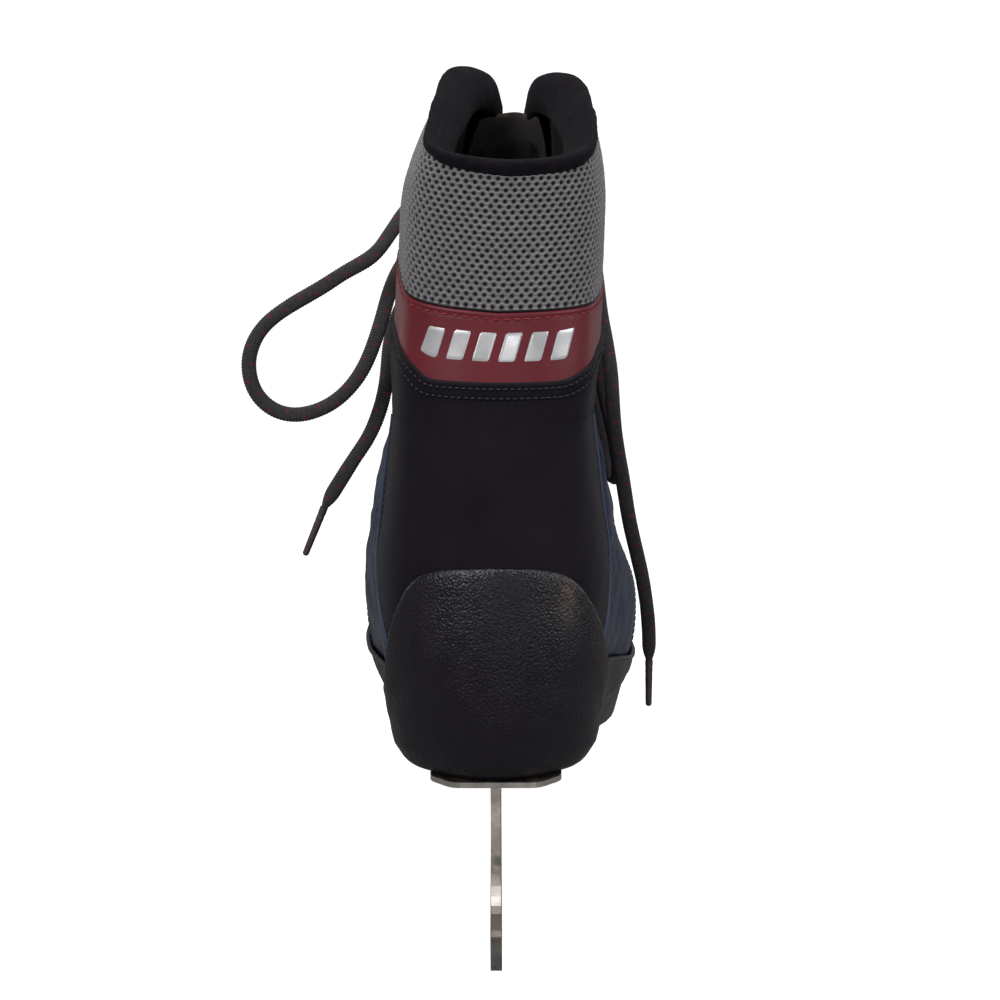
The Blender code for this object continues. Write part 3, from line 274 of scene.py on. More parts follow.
def th_quarter_front(v):
    return pchip(v, [(0.4, 95.0), (1.2, 97.0), (2.5, 105.0), (4.0, 122.0), (5.2, 138.0), (5.95, EYESTAY_BACK)])


def v_cap(th):
    d = np.abs(np.abs(wrap(th)) - 180.0)
    c = np.clip(1 - (d / 64.0) ** 2, 0.0, None) ** 0.8
    lo = v_foot(th)
    return lo + (3.3 - lo) * c


def v_vamp_top(th):
    d = np.abs(np.abs(wrap(th)) - 180.0)
    return pchip(d, [(0, 5.55), (13, 5.68), (34, 5.86), (60, 6.0)])


# ---------------------------------------------------------------- smooth noise for geometry
_NOISE = rng.random((24, 24, 24))


def noise3(p):
    """Smooth value noise, -1..1, of points in cells."""
    p = np.asarray(p, float)
    i = np.floor(p).astype(int)
    f = p - i
    f = f * f * (3 - 2 * f)
    out = 0.0
    for dx in (0, 1):
        for dy in (0, 1):
            for dz in (0, 1):
                w = ((f[..., 0] if dx else 1 - f[..., 0]) * (f[..., 1] if dy else 1 - f[..., 1])
                     * (f[..., 2] if dz else 1 - f[..., 2]))
                out = out + w * _NOISE[(i[..., 0] + dx) % 24, (i[..., 1] + dy) % 24, (i[..., 2] + dz) % 24]
    return out * 2 - 1


def fbm(p, octaves=3):
    out, amp, q = 0.0, 1.0, np.asarray(p, float)
    for _ in range(octaves):
        out = out + amp * noise3(q)
        amp, q = amp * 0.5, q * 2.03 + 5.1
    return out / 1.75


# ---------------------------------------------------------------- mesh helpers
MATS = {}


def add_mesh(name, co, faces, mat, attributes=None, smooth=True):
    me = bpy.data.meshes.new(name)
    co = np.asarray(co, np.float32).reshape(-1, 3)
    faces = np.asarray(faces, np.int32)
    me.vertices.add(len(co))
    me.vertices.foreach_set("co", co.ravel())
    n = faces.shape[1]
    me.loops.add(faces.size)
    me.loops.foreach_set("vertex_index", faces.ravel())
    me.polygons.add(len(faces))
    me.polygons.foreach_set("loop_start", np.arange(0, faces.size, n, dtype=np.int32))
    me.polygons.foreach_set("loop_total", np.full(len(faces), n, np.int32))
    me.polygons.foreach_set("use_smooth", np.full(len(faces), smooth))
    me.update(calc_edges=True)
    me.validate()
    for key, val in (attributes or {}).items():
        at = me.attributes.new(key, "FLOAT", "POINT")
        at.data.foreach_set("value", np.asarray(val, np.float32).ravel())
    ob = bpy.data.objects.new(name, me)
    bpy.context.scene.collection.objects.link(ob)
    me.materials.append(MATS[mat])
    return ob


def grid_faces(nj, ni, wrap_i=False, wrap_j=False, flip=False):
    j = np.arange(nj if wrap_j else nj - 1)
    i = np.arange(ni if wrap_i else ni - 1)
    jj, ii = np.meshgrid(j, i, indexing="ij")
    a = jj * ni + ii
    b = jj * ni + (ii + 1) % ni
    c = ((jj + 1) % nj) * ni + (ii + 1) % ni
    d = ((jj + 1) % nj) * ni + ii
    f = np.stack([a, b, c, d], -1).reshape(-1, 4)
    return f[:, ::-1] if flip else f


def place(ob, body="skate", nodes=()):
    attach(ob, body)
    if nodes:
        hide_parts(*nodes)
    return ob


def knots(n, length, r):
    """Positions 0..1 with extra rows within r mm of both ends."""
    edge = np.array([0.0, 0.08, 0.22, 0.45, 0.72, 1.0]) * r / length
    mid = np.linspace(edge[-1], 1 - edge[-1], n + 1)
    return np.concatenate([edge[:-1], mid, (1 - edge[:-1])[::-1]])


def border_distance(p):
    """Distances in mm to the low-s, high-s, low-t and high-t borders of a grid of points (t, s, 3)."""
    ds = np.zeros(p.shape[:2])
    ds[:, 1:] = np.cumsum(np.linalg.norm(np.diff(p, axis=1), axis=-1), axis=1)
    dt = np.zeros(p.shape[:2])
    dt[1:] = np.cumsum(np.linalg.norm(np.diff(p, axis=0), axis=-1), axis=0)
    return ds, ds[:, -1:] - ds, dt, dt[-1:] - dt


def panel(name, fn, ns, nt, length_s, length_t, mat, relief=None, lift=0.0, depth=LEATHER, r=1.0, roll=(1, 1, 1, 1),
          attributes=None, nodes=(), body="skate"):
    """Panel on the boot surface. fn(s, t) gives ring coordinates; relief(p, th, v, borders) gives mm outwards."""
    s = knots(ns, length_s, r)
    t = knots(nt, length_t, r)
    ss, tt = np.meshgrid(s, t)
    th, v = fn(ss, tt)
    base = surf(th, v)
    borders = border_distance(base)
    d = np.full(th.shape, float(lift))
    if relief is not None:
        d = d + relief(base, th, v, borders)
    near = np.full(th.shape, 1e9)
    for k in range(4):
        if roll[k]:
            near = np.minimum(near, borders[k])
    x = np.clip(near / r, 0.0, 1.0)
    d = d - r * 0.85 * (1 - np.sqrt(np.clip(1 - (1 - x) ** 2, 0, 1)))
    extra = {k: f(base, th, v, borders) for k, f in (attributes or {}).items()}
    th, v, d = (np.pad(a, 1, mode="edge") for a in (th, v, d))
    extra = {k: np.pad(a, 1, mode="edge") for k, a in extra.items()}
    for sl in (np.s_[0, :], np.s_[-1, :], np.s_[:, 0], np.s_[:, -1]):
        d[sl] = lift - depth
    ob = add_mesh(name, world(pt(th, v, d)), grid_faces(*th.shape), mat, extra)
    return place(ob, body, nodes)


def groove(dist, at, width, depth):
    return -depth * np.exp(-((dist - at) / width) ** 2)


def chart(th, v):
    """Surface tangents in mm per degree and mm per ring."""
    return (surf(th + 0.5, v) - surf(th - 0.5, v)), (surf(th, v + 0.03) - surf(th, v - 0.03)) / 0.06


def offset_curve(th, v, mm, steps=4):
    """Curve in ring coordinates, shifted sideways on the surface by mm to the left of its direction."""
    th, v = np.array(th, float), np.array(v, float)
    for _ in range(steps):
        p, n = surf(th, v), normal(th, v)
        tan = np.gradient(p, axis=0)
        tan /= np.linalg.norm(tan, axis=-1, keepdims=True)
        side = np.cross(n, tan) * (mm / steps)
        su, sv = chart(th, v)
        a11, a12, a22 = (su * su).sum(-1), (su * sv).sum(-1), (sv * sv).sum(-1)
        b1, b2 = (su * side).sum(-1), (sv * side).sum(-1)
        det = a11 * a22 - a12 * a12
        th = th + (b1 * a22 - b2 * a12) / det
        v = v + (b2 * a11 - b1 * a12) / det
    return th, v


def stitches(name, rows, pitch, share, radius, mat, lift=0.0, body="skate"):
    """Threads sewn along curves in ring coordinates, each stitch dipping into its holes."""
    n_u, n_r = 7, 6
    allco, allf, base = [], [], 0
    for th, v in rows:
        p = surf(th, v)
        arc = np.concatenate([[0], np.cumsum(np.linalg.norm(np.diff(p, axis=0), axis=-1))])
        count = max(1, int(arc[-1] / pitch))
        start = (np.arange(count) + 0.14) * arc[-1] / count
        start = start + rng.normal(0, 0.02, count) * pitch
        u = np.linspace(0, 1, n_u)
        a = start[:, None] + u[None] * pitch * share
        ht = lift + radius * 1.1 * (np.sin(math.pi * u) ** 0.5) - radius * 0.75
        tha, va = np.interp(a, arc, th), np.interp(a, arc, v)
        c = pt(tha, va, np.broadcast_to(ht, a.shape))
        nn = normal(tha, va)
        tan = np.gradient(c, axis=1)
        tan /= np.linalg.norm(tan, axis=-1, keepdims=True)
        side = np.cross(nn, tan)
        prof = radius * np.clip(1 - np.abs(2 * u - 1) ** 5 * 0.6, 0.2, 1)
        ang = np.arange(n_r) * math.tau / n_r
        ring = (c[:, :, None] + side[:, :, None] * (np.cos(ang)[None, None, :, None] * prof[None, :, None, None])
                + nn[:, :, None] * (np.sin(ang)[None, None, :, None] * prof[None, :, None, None] * 0.8))
        f = grid_faces(n_u, n_r, wrap_i=True)
        for k in range(count):
            allco.append(ring[k].reshape(-1, 3))
            allf.append(f + base)
            base += n_u * n_r
    ob = add_mesh(name, world(np.concatenate(allco)), np.concatenate(allf), mat)
    return place(ob, body, ())


def bead(name, th, v, lift, radius, mat, flat=1.0, body="skate", n_r=10, width=None):
    """Piping or folded edge that follows a curve in ring coordinates."""
    c = pt(th, v, lift)
    nn = normal(th, v)
    tan = np.gradient(c, axis=0)
    tan /= np.linalg.norm(tan, axis=-1, keepdims=True)
    side = np.cross(nn, tan)
    ang = np.arange(n_r) * math.tau / n_r
    w = radius if width is None else width
    ring = c[:, None] + side[:, None] * (np.cos(ang) * w)[None, :, None] + nn[:, None] * (np.sin(ang) * radius * flat)[None, :, None]
    ob = add_mesh(name, world(ring), grid_faces(len(c), n_r, wrap_i=True), mat)
    return place(ob, body, ())


# ---------------------------------------------------------------- materials
def new_material(name):
    m = bpy.data.materials.new(name)
    m.use_nodes = True
    nt = m.node_tree
    return m, nt, nt.nodes, nt.links, nt.nodes["Principled BSDF"]


def make(name, colour, rough, metal=0.0, spec=0.5, sheen=0.0, sheen_rough=0.5, sheen_tint=(1, 1, 1), coat=0.0, coat_rough=0.2,
         tone=(60.0, 0.35), tone2=None, second=None, second_at=None, bumps=(), rough_vary=(120.0, 0.08), aniso=0.0, stretch=None,
         attr=None, tint=None):
    """Procedural material: base colour varied by noise, roughness varied by noise, stacked bumps."""
    m, nt, N, L, b = new_material(name)
    co = N.new("ShaderNodeTexCoord")
    src = co.outputs["Object"]
    if stretch is not None:
        mp = N.new("ShaderNodeMapping")
        mp.inputs["Scale"].default_value = stretch
        L.new(src, mp.inputs["Vector"])
        stretched = mp.outputs["Vector"]
    else:
        stretched = src
    nz = N.new("ShaderNodeTexNoise")
    nz.inputs["Scale"].default_value = tone[0]
    nz.inputs["Detail"].default_value = 5.0
    nz.inputs["Roughness"].default_value = 0.6
    L.new(stretched, nz.inputs["Vector"])
    ramp = N.new("ShaderNodeValToRGB")
    k = tone[1]
    e = ramp.color_ramp.elements
    e[0].position, e[1].position = 0.28, 0.74
    e[0].color = (*[c * (1 - k) for c in colour], 1)
    c2 = tone2 if tone2 is not None else [c * (1 + k) for c in colour]
    e[1].color = (*c2, 1)
    L.new(nz.outputs["Fac"], ramp.inputs["Fac"])
    out = ramp.outputs["Color"]
    if attr is not None:
        for key, col, power in attr:
            at = N.new("ShaderNodeAttribute")
            at.attribute_name = key
            mix = N.new("ShaderNodeMix")
            mix.data_type = "RGBA"
            mu = N.new("ShaderNodeMath")
            mu.operation = "MULTIPLY"
            mu.use_clamp = True
            mu.inputs[1].default_value = power
            L.new(at.outputs["Fac"], mu.inputs[0])
            L.new(mu.outputs[0], mix.inputs["Factor"])
            L.new(out, mix.inputs["A"])
            mix.inputs["B"].default_value = (*col, 1)
            out = mix.outputs["Result"]
    L.new(out, b.inputs["Base Color"])
    rn = N.new("ShaderNodeTexNoise")
    rn.inputs["Scale"].default_value = rough_vary[0]
    rn.inputs["Detail"].default_value = 4.0
    L.new(stretched, rn.inputs["Vector"])
    mr = N.new("ShaderNodeMapRange")
    mr.inputs["From Min"].default_value, mr.inputs["From Max"].default_value = 0.25, 0.75
    mr.inputs["To Min"].default_value = max(0.02, rough - rough_vary[1])
    mr.inputs["To Max"].default_value = min(1.0, rough + rough_vary[1])
    L.new(rn.outputs["Fac"], mr.inputs["Value"])
    L.new(mr.outputs["Result"], b.inputs["Roughness"])
    b.inputs["Metallic"].default_value = metal
    b.inputs["Specular IOR Level"].default_value = spec
    if sheen:
        b.inputs["Sheen Weight"].default_value = sheen
        b.inputs["Sheen Roughness"].default_value = sheen_rough
        b.inputs["Sheen Tint"].default_value = (*sheen_tint, 1)
    if coat:
        b.inputs["Coat Weight"].default_value = coat
        b.inputs["Coat Roughness"].default_value = coat_rough
    if aniso:
        b.inputs["Anisotropic"].default_value = aniso
    prev = None
    for kind, scale, strength, dist in bumps:
        if kind == "voronoi":
            tx = N.new("ShaderNodeTexVoronoi")
            tx.feature = "SMOOTH_F1"
            tx.inputs["Smoothness"].default_value = 0.6
            tx.inputs["Scale"].default_value = scale
            val = tx.outputs["Distance"]
        else:
            tx = N.new("ShaderNodeTexNoise")
            tx.inputs["Scale"].default_value = scale
            tx.inputs["Detail"].default_value = 4.0
            val = tx.outputs["Fac"]
        L.new(stretched if kind == "streak" else src, tx.inputs["Vector"])
        bp = N.new("ShaderNodeBump")
        bp.inputs["Strength"].default_value = strength
        bp.inputs["Distance"].default_value = dist
        if kind == "voronoi":
            bp.invert = True
        L.new(val, bp.inputs["Height"])
        if prev is not None:
            L.new(prev.outputs["Normal"], bp.inputs["Normal"])
        prev = bp
    if prev is not None:
        L.new(prev.outputs["Normal"], b.inputs["Normal"])
    MATS[name] = m
    return m


# Nubuck colour with a painted reflection: a lighter brownish tone on the lower lateral side of the heel panel, and a
# lighter tone along its top border.
make("nubuck_black", (0.0060, 0.0042, 0.0082), 0.84, spec=0.13, sheen=0.045, sheen_rough=0.5, tone=(38.0, 0.22),
     bumps=[("noise", 2600.0, 0.35, 0.00012), ("noise", 260.0, 0.18, 0.0004)], rough_vary=(90.0, 0.07),
     attr=[("painted_sheen_and_top_edge", (0.060, 0.045, 0.040), 0.5)])
make("navy_gloss", (0.0042, 0.0105, 0.040), 0.33, spec=0.13, coat=0.03, coat_rough=0.15, tone=(45.0, 0.45),
     bumps=[("voronoi", 900.0, 0.22, 0.0003), ("noise", 160.0, 0.35, 0.0008), ("noise", 3000.0, 0.15, 0.00005)],
     rough_vary=(70.0, 0.10))
make("navy_edge", (0.010, 0.022, 0.070), 0.55, spec=0.4, sheen=0.15, tone=(80.0, 0.3), bumps=[("noise", 1800.0, 0.3, 0.0001)])
make("burgundy_skin", (0.125, 0.0095, 0.0175), 0.46, spec=0.35, tone=(50.0, 0.14), sheen=0.06,
     bumps=[("voronoi", 1500.0, 0.12, 0.00012), ("noise", 420.0, 0.12, 0.0003)], rough_vary=(80.0, 0.06))
make("silver_print", (0.60, 0.60, 0.62), 0.34, metal=0.55, spec=0.5, tone=(30.0, 0.14), bumps=[("noise", 1500.0, 0.2, 0.0001)])
make("mesh_grey", (0.182, 0.172, 0.182), 0.78, spec=0.30, sheen=0.18, sheen_rough=0.4, tone=(700.0, 0.30),
     bumps=[("noise", 4200.0, 0.80, 0.00022)], rough_vary=(600.0, 0.10), attr=[("hole", (0.004, 0.004, 0.005), 1.0)])
make("fleece_black", (0.0052, 0.0040, 0.0062), 0.95, spec=0.06, sheen=0.025, sheen_rough=0.6, tone=(260.0, 0.45),
     bumps=[("noise", 1500.0, 0.6, 0.0005), ("noise", 5200.0, 0.5, 0.0002)])
make("fleece_inner", (0.0042, 0.0037, 0.0046), 0.97, spec=0.06, sheen=0.06, sheen_rough=0.6, tone=(200.0, 0.45),
     bumps=[("noise", 1200.0, 0.6, 0.0006)])
# Tongue colour with a painted highlight: a lighter brownish lit edge along the top of the tongue.
make("tongue_skin", (0.015, 0.012, 0.013), 0.75, spec=0.3, sheen=0.10, tone=(60.0, 0.3), bumps=[("noise", 900.0, 0.4, 0.0003)],
     attr=[("painted_rim_light", (0.060, 0.034, 0.030), 1.0)])
# Rubber colour with a worn patch and a painted reflection: a lighter brownish tone along the lateral edge of the
# counter and the lateral wall of the fore sole.
make("rubber_grain", (0.0066, 0.0044, 0.0082), 0.38, spec=0.42, tone=(50.0, 0.25),
     bumps=[("voronoi", 1150.0, 0.62, 0.00045), ("noise", 2200.0, 0.30, 0.0002)],
     rough_vary=(130.0, 0.10), attr=[("scuff_and_sheen", (0.115, 0.080, 0.066), 1.0)])
make("thread_black", (0.0055, 0.0048, 0.0062), 0.45, spec=0.35, tone=(900.0, 0.4), bumps=[("noise", 3000.0, 0.5, 0.0001)])
make("thread_red", (0.21, 0.020, 0.020), 0.55, spec=0.35, tone=(900.0, 0.3), bumps=[("noise", 3000.0, 0.5, 0.0001)])
make("thread_navy", (0.018, 0.026, 0.06), 0.5, spec=0.4, tone=(900.0, 0.4), bumps=[("noise", 3000.0, 0.5, 0.0001)])
# Lace colour with red flecks and painted shade that darkens the troughs of the braid.
make("lace_braid", (0.036, 0.033, 0.037), 0.82, spec=0.28, sheen=0.25, sheen_rough=0.4, tone=(900.0, 0.40),
     bumps=[("noise", 3500.0, 0.6, 0.0002)], attr=[("fleck", (0.20, 0.012, 0.016), 1.0), ("painted_crease_shade", (0.004, 0.004, 0.005), 0.75)])
make("aglet_film", (0.060, 0.042, 0.040), 0.26, spec=0.5, coat=0.4, tone=(500.0, 0.3), bumps=[("noise", 1200.0, 0.3, 0.0002)])
make("steel_ground", (0.30, 0.262, 0.24), 0.34, metal=1.0, aniso=0.4, tone=(90.0, 0.22), stretch=(1.0, 0.12, 1.4),
     tone2=(0.50, 0.46, 0.42), bumps=[("streak", 2600.0, 0.30, 0.00006), ("noise", 120.0, 0.18, 0.0003)], rough_vary=(220.0, 0.12))
make("nickel_plate", (0.78, 0.73, 0.67), 0.30, metal=1.0, tone=(70.0, 0.14), tone2=(0.66, 0.62, 0.57),
     bumps=[("noise", 700.0, 0.16, 0.0002), ("noise", 70.0, 0.10, 0.0006)], rough_vary=(180.0, 0.10))
make("screw_steel", (0.40, 0.38, 0.36), 0.30, metal=1.0, tone=(400.0, 0.2), bumps=[("noise", 900.0, 0.2, 0.0002)])
make("black_metal", (0.030, 0.030, 0.034), 0.32, metal=0.9, tone=(400.0, 0.4), bumps=[("noise", 900.0, 0.2, 0.0002)],
     rough_vary=(500.0, 0.1))
make("footbed_foam", (0.030, 0.030, 0.034), 0.92, spec=0.2, tone=(300.0, 0.4), bumps=[("noise", 1500.0, 0.5, 0.0004)])
make("fibre_board", (0.36, 0.27, 0.18), 0.9, tone=(400.0, 0.2), bumps=[("noise", 1500.0, 0.4, 0.0003)])

MATS["navy_gloss"].node_tree.nodes["Principled BSDF"].inputs["Specular Tint"].default_value = (0.30, 0.50, 1.0, 1.0)

for node, mat in [("blade", "steel_ground"), ("heel_plate", "nickel_plate"), ("sole_plate", "nickel_plate"),
                  ("steel_shank", "screw_steel"), ("lasting_board", "fibre_board"), ("footbed", "footbed_foam")]:
    NODES[node].data.materials.clear()
    NODES[node].data.materials.append(MATS[mat])
for node, ob in NODES.items():
    if "_screw_" in node:
        ob.data.materials.clear()
        ob.data.materials.append(MATS["screw_steel"])
    if node.startswith("eyelet_") or node.startswith("hook_"):
        ob.data.materials.clear()
        ob.data.materials.append(MATS["black_metal"])

# ---------------------------------------------------------------- laces
def unit(a):
    return a / np.maximum(np.linalg.norm(a, axis=-1, keepdims=True), 1e-9)


def resample(p, step):
    p = np.asarray(p, float)
    arc = np.concatenate([[0], np.cumsum(np.linalg.norm(np.diff(p, axis=0), axis=-1))])
    n = max(8, int(arc[-1] / step))
    a = np.linspace(0, arc[-1], n + 1)
    return np.stack([np.interp(a, arc, p[:, k]) for k in range(3)], -1), a


def smooth_path(points, per=14):
    q = np.asarray(points, float)
    q = np.concatenate([[q[0] * 2 - q[1]], q, [q[-1] * 2 - q[-2]]])
    out = []
    for i in range(1, len(q) - 2):
        for s in range(per):
            out.append(cubic(q[i - 1], q[i], q[i + 1], q[i + 2], s / per))
    out.append(q[-2])
    return np.array(out)


def relax(p, times):
    p = p.copy()
    for _ in range(times):
        p[1:-1] = p[1:-1] * 0.5 + (p[:-2] + p[2:]) * 0.25
    return p


def braid(p, face, half_w, half_t, arc0=0.0, taper_start=0.0, taper_end=0.0, phase=0.0, n_r=20):
    """Flat braided lace along points (mm) with face, the direction its flat side looks; returns the rings, the red
    flecks and the painted crease shade.
    """
    tan = unit(np.gradient(p, axis=0))
    side = unit(np.cross(tan, face))
    for _ in range(12):
        side[1:-1] = side[1:-1] * 0.5 + (side[:-2] + side[2:]) * 0.25
    side = unit(side - (side * tan).sum(-1, keepdims=True) * tan)
    up = np.cross(side, tan)
    arc = arc0 + np.concatenate([[0], np.cumsum(np.linalg.norm(np.diff(p, axis=0), axis=-1))])
    total = arc[-1] - arc0
    wv = 1 + 0.05 * noise3(np.stack([arc / 9.0, arc * 0 + 3.3 + phase, arc * 0 + 1.7], -1))
    narrow = np.ones(len(p))
    if taper_end:
        x = np.clip((total - (arc - arc0)) / taper_end, 0, 1)
        narrow = np.minimum(narrow, 0.42 + 0.58 * np.sin(x * math.pi / 2))
    if taper_start:
        x = np.clip((arc - arc0) / taper_start, 0, 1)
        narrow = np.minimum(narrow, 0.42 + 0.58 * np.sin(x * math.pi / 2))
    ang = np.arange(n_r) * math.tau / n_r
    ca, sa = np.cos(ang), np.sin(ang)
    cx = np.sign(ca) * np.abs(ca) ** 0.85
    sy = np.sign(sa) * np.abs(sa) ** 0.95
    a = arc[:, None]
    chev = np.sin(math.tau * (a / 1.05 + 0.55 * np.abs(ca)[None] * np.sign(sa)[None] + phase))
    rib = 1 + 0.060 * chev
    edge = 1 + 0.045 * np.sin(math.tau * a / 1.05 + phase * 6)
    ring = (p[:, None] + side[:, None] * (cx[None] * half_w * edge * wv[:, None] * narrow[:, None])[..., None]
            + up[:, None] * (sy[None] * half_t * rib * narrow[:, None] ** 0.25)[..., None])
    k = np.abs(((a / 6.3 + phase) % 1.0) - 0.5)
    which = np.where(np.floor(a / 6.3 + phase) % 2 < 1, 1.0, -1.0)
    fleck = np.clip((0.5 - np.abs(k - 0.5) * 1.0 - 0.34) * 14, 0, 1) * 0
    near = np.abs(((a / 6.3 + phase) % 1.0) - 0.5) * 6.3
    fleck = np.clip(1.25 - near / 0.68, 0, 1) * np.clip(1.25 - np.abs(ca[None] * 1.0 - which * 0.45) / 0.30, 0, 1)
    fleck = np.clip(fleck * (0.8 + 0.5 * chev), 0, 1)
    # Painted shade: darker where the braid's chevron relief dips.
    painted_crease_shade = np.clip(-chev * 0.9 - 0.15, 0, 1)
    return ring, fleck, painted_crease_shade


def lace_piece(name, paths, half_w, half_t, nodes, with_face, body="skate", taper=(0, 0)):
    co, fl, cr, fs, base = [], [], [], [], 0
    for k, p in enumerate(paths):
        face = with_face[k] if isinstance(with_face, list) else with_face
        if callable(face):
            face = face(p)
        else:
            face = np.broadcast_to(np.asarray(face, float), p.shape)
        ring, fleck, painted_crease_shade = braid(p, face, half_w, half_t, taper_start=taper[0], taper_end=taper[1], phase=0.37 * k + 0.11 * len(name))
        n, m = ring.shape[:2]
        co.append(ring.reshape(-1, 3))
        co.append(p[:1])
        co.append(p[-1:])
        fl += [fleck.ravel(), [0, 0]]
        cr += [painted_crease_shade.ravel(), [0, 0]]
        f = grid_faces(n, m, wrap_i=True, flip=True)
        tri = lambda r, c, rev: np.array([[c, (r * m + (i + 1) % m), (r * m + i), (r * m + i)] if rev else
                                          [c, (r * m + i), (r * m + (i + 1) % m), (r * m + (i + 1) % m)] for i in range(m)])
        quads = [f + base]
        fs.append(np.concatenate(quads))
        base += n * m + 2
    ob = add_mesh(name, world(np.concatenate(co)), np.concatenate(fs), "lace_braid",
                  {"fleck": np.concatenate(fl), "painted_crease_shade": np.concatenate(cr)})
    return place(ob, body, nodes)


knot = pt(180.0, 11.42, 5.6)
KX, KY, KZ = knot
LOOP_LEFT = [(KX - 8.6, KY + 1.0, KZ + 2.5), (-9.0, 120.5, 261.0), (-20.0, 108.0, 260.0), (-30.5, 90.0, 256.5), (-37.0, 72.0, 249.5),
             (-43.4, 62.5, 241.4), (-53.7, 60.0, 235.7), (-62.5, 60.0, 230.0), (-72.7, 60.0, 224.2), (-81.6, 60.0, 218.0),
             (-87.0, 60.0, 211.0), (-89.3, 60.0, 202.0), (-87.0, 60.0, 192.0), (-80.5, 60.0, 185.5), (-72.3, 60.0, 183.5),
             (-63.5, 60.0, 185.6), (-56.6, 60.5, 189.6), (-50.9, 61.0, 195.5), (-46.8, 62.5, 202.0), (-43.4, 65.0, 210.5),
             (-40.8, 68.5, 218.5), (-38.9, 74.0, 225.5), (-35.0, 88.0, 234.0), (-27.0, 104.0, 243.0), (-15.5, 118.0, 250.5),
             (KX - 8.8, KY + 2.0, KZ - 1.5)]
LOOP_RIGHT = [(KX + 8.8, KY + 2.0, KZ - 1.2), (20.0, 126.0, 247.0), (30.0, 117.5, 233.0), (36.0, 107.0, 217.0), (38.2, 99.5, 202.0),
              (39.4, 96.5, 188.0), (42.6, 96.0, 174.0), (45.0, 98.0, 161.0), (45.2, 104.0, 152.5), (43.6, 112.5, 149.5),
              (41.5, 120.0, 158.0), (37.0, 122.5, 178.0), (32.0, 124.5, 200.0), (26.0, 128.5, 220.0), (17.0, 133.0, 238.0),
              (KX + 7.0, KY + 4.0, KZ - 6.0)]
END_LEFT = [(KX - 6.8, KY + 3.6, KZ - 5.0), (-12.0, 128.0, 243.0), (-24.0, 117.0, 232.0), (-33.0, 102.0, 222.0), (-37.6, 88.0, 212.0),
            (-39.4, 80.0, 203.0), (-40.3, 76.0, 192.0), (-43.0, 73.0, 181.7), (-47.0, 71.0, 172.8), (-51.2, 70.0, 166.9),
            (-56.9, 70.0, 157.9), (-62.5, 70.0, 148.9)]
AGLET_LEFT = [(-63.2, 70.0, 147.6), (-70.6, 70.0, 129.6)]
END_RIGHT = [(KX + 8.2, KY + 0.5, KZ + 4.6), (18.0, 123.5, 262.0), (27.5, 114.0, 254.0), (33.5, 103.0, 243.0), (36.8, 93.0, 231.0),
             (38.2, 86.5, 220.0), (40.0, 80.0, 209.0), (41.8, 74.0, 199.0), (42.4, 71.0, 189.0), (43.4, 72.0, 176.0),
             (46.5, 77.0, 156.0), (48.9, 80.0, 140.6), (51.8, 85.0, 127.3), (54.6, 90.0, 114.0), (56.6, 96.0, 98.0), (57.0, 99.5, 84.0)]
AGLET_RIGHT = [(57.0, 99.8, 82.5), (56.9, 100.4, 64.5)]
HALF_W, HALF_T = 2.65, 1.35
STEP = 0.30


def route(points, times=14):
    p = relax(resample(smooth_path(points), 1.2)[0], times)
    return relax(resample(p, STEP)[0], 6)


def face_blend(near_knot):
    """Flat side looks back at the free part and turns towards the boot's front near the knot."""
    def fn(p):
        y = p[:, 1]
        w = np.clip((y - 84.0) / 36.0, 0, 1)[:, None]
        return unit(np.array([0.0, -1.0, 0.1]) * (1 - w) + np.array(near_knot) * w)
    return fn


def aglet(name, ends, nodes):
    a, b = np.array(ends[0], float), np.array(ends[1], float)
    n = 40
    t = np.linspace(0, 1, n)
    c = a + (b - a) * t[:, None]
    r = 1.50 - 0.32 * t + 0.10 * np.exp(-((t - 0.16) / 0.02) ** 2) * -1 - 0.10 * np.exp(-((t - 0.30) / 0.02) ** 2)
    r = np.where(t > 0.96, r * np.sqrt(np.clip(1 - ((t - 0.96) / 0.045) ** 2, 0.05, 1)), r)
    tan = unit(b - a)
    side = unit(np.cross(tan, [0, -1, 0.05]))
    up = np.cross(side, tan)
    ang = np.arange(16) * math.tau / 16
    ring = c[:, None] + side * (np.cos(ang)[None, :, None] * r[:, None, None]) + up * (np.sin(ang)[None, :, None] * r[:, None, None] * 0.8)
    co = np.concatenate([ring.reshape(-1, 3), [a, b]])
    f = grid_faces(n, 16, wrap_i=True, flip=True)
    ob = add_mesh(name, world(co[:n * 16]), f, "aglet_film")
    return place(ob, "skate", nodes)


aglet_l = aglet("aglet_film_left", AGLET_LEFT, ["aglet_left"])
aglet_r = aglet("aglet_film_right", AGLET_RIGHT, ["aglet_right"])
CORDS = {}
for name, pts_, node, facing, taper, end, pieces in (
        ("lace_bow_left", LOOP_LEFT, "lace_loop_left", (0, 1, 0.2), (0, 0), "object", []),
        ("lace_bow_right", LOOP_RIGHT, "lace_loop_right", (0, 1, 0.2), (0, 0), "object", []),
        ("lace_tail_left", END_LEFT + [AGLET_LEFT[0]], "lace_end_left", (0, 1, 0.2), (0, 7.0), "fitting", [aglet_l]),
        ("lace_tail_right", END_RIGHT + [AGLET_RIGHT[0]], "lace_end_right", (0, 1, 0.2), (0, 7.0), "fitting", [aglet_r])):
    p = route(pts_)
    ob = lace_piece(name, [p], HALF_W, HALF_T, [node], face_blend(facing), taper=taper)
    w = world(p[::4])
    length = float(np.linalg.norm(np.diff(w, axis=0), axis=1).sum())
    CORDS[name] = round(length, 3)
SIZE["cord_lengths"] = CORDS

# ---------------------------------------------------------------- laced part of the lace
EYE_V = [6.35, 6.95, 7.6, 8.35, 9.15]
HOOK_V = [10.1, 11.0]


def mixv(lo, hi, t):
    return lo + (hi - lo) * t


def cross_over(a, b, bump, n=6):
    out = []
    for i in range(1, n):
        t = i / n
        e = t * t * (3 - 2 * t)
        out.append((mixv(a[0], b[0], t), mixv(a[1], b[1], t), mixv(a[2], b[2], e) + bump * math.sin(math.pi * t)))
    return out


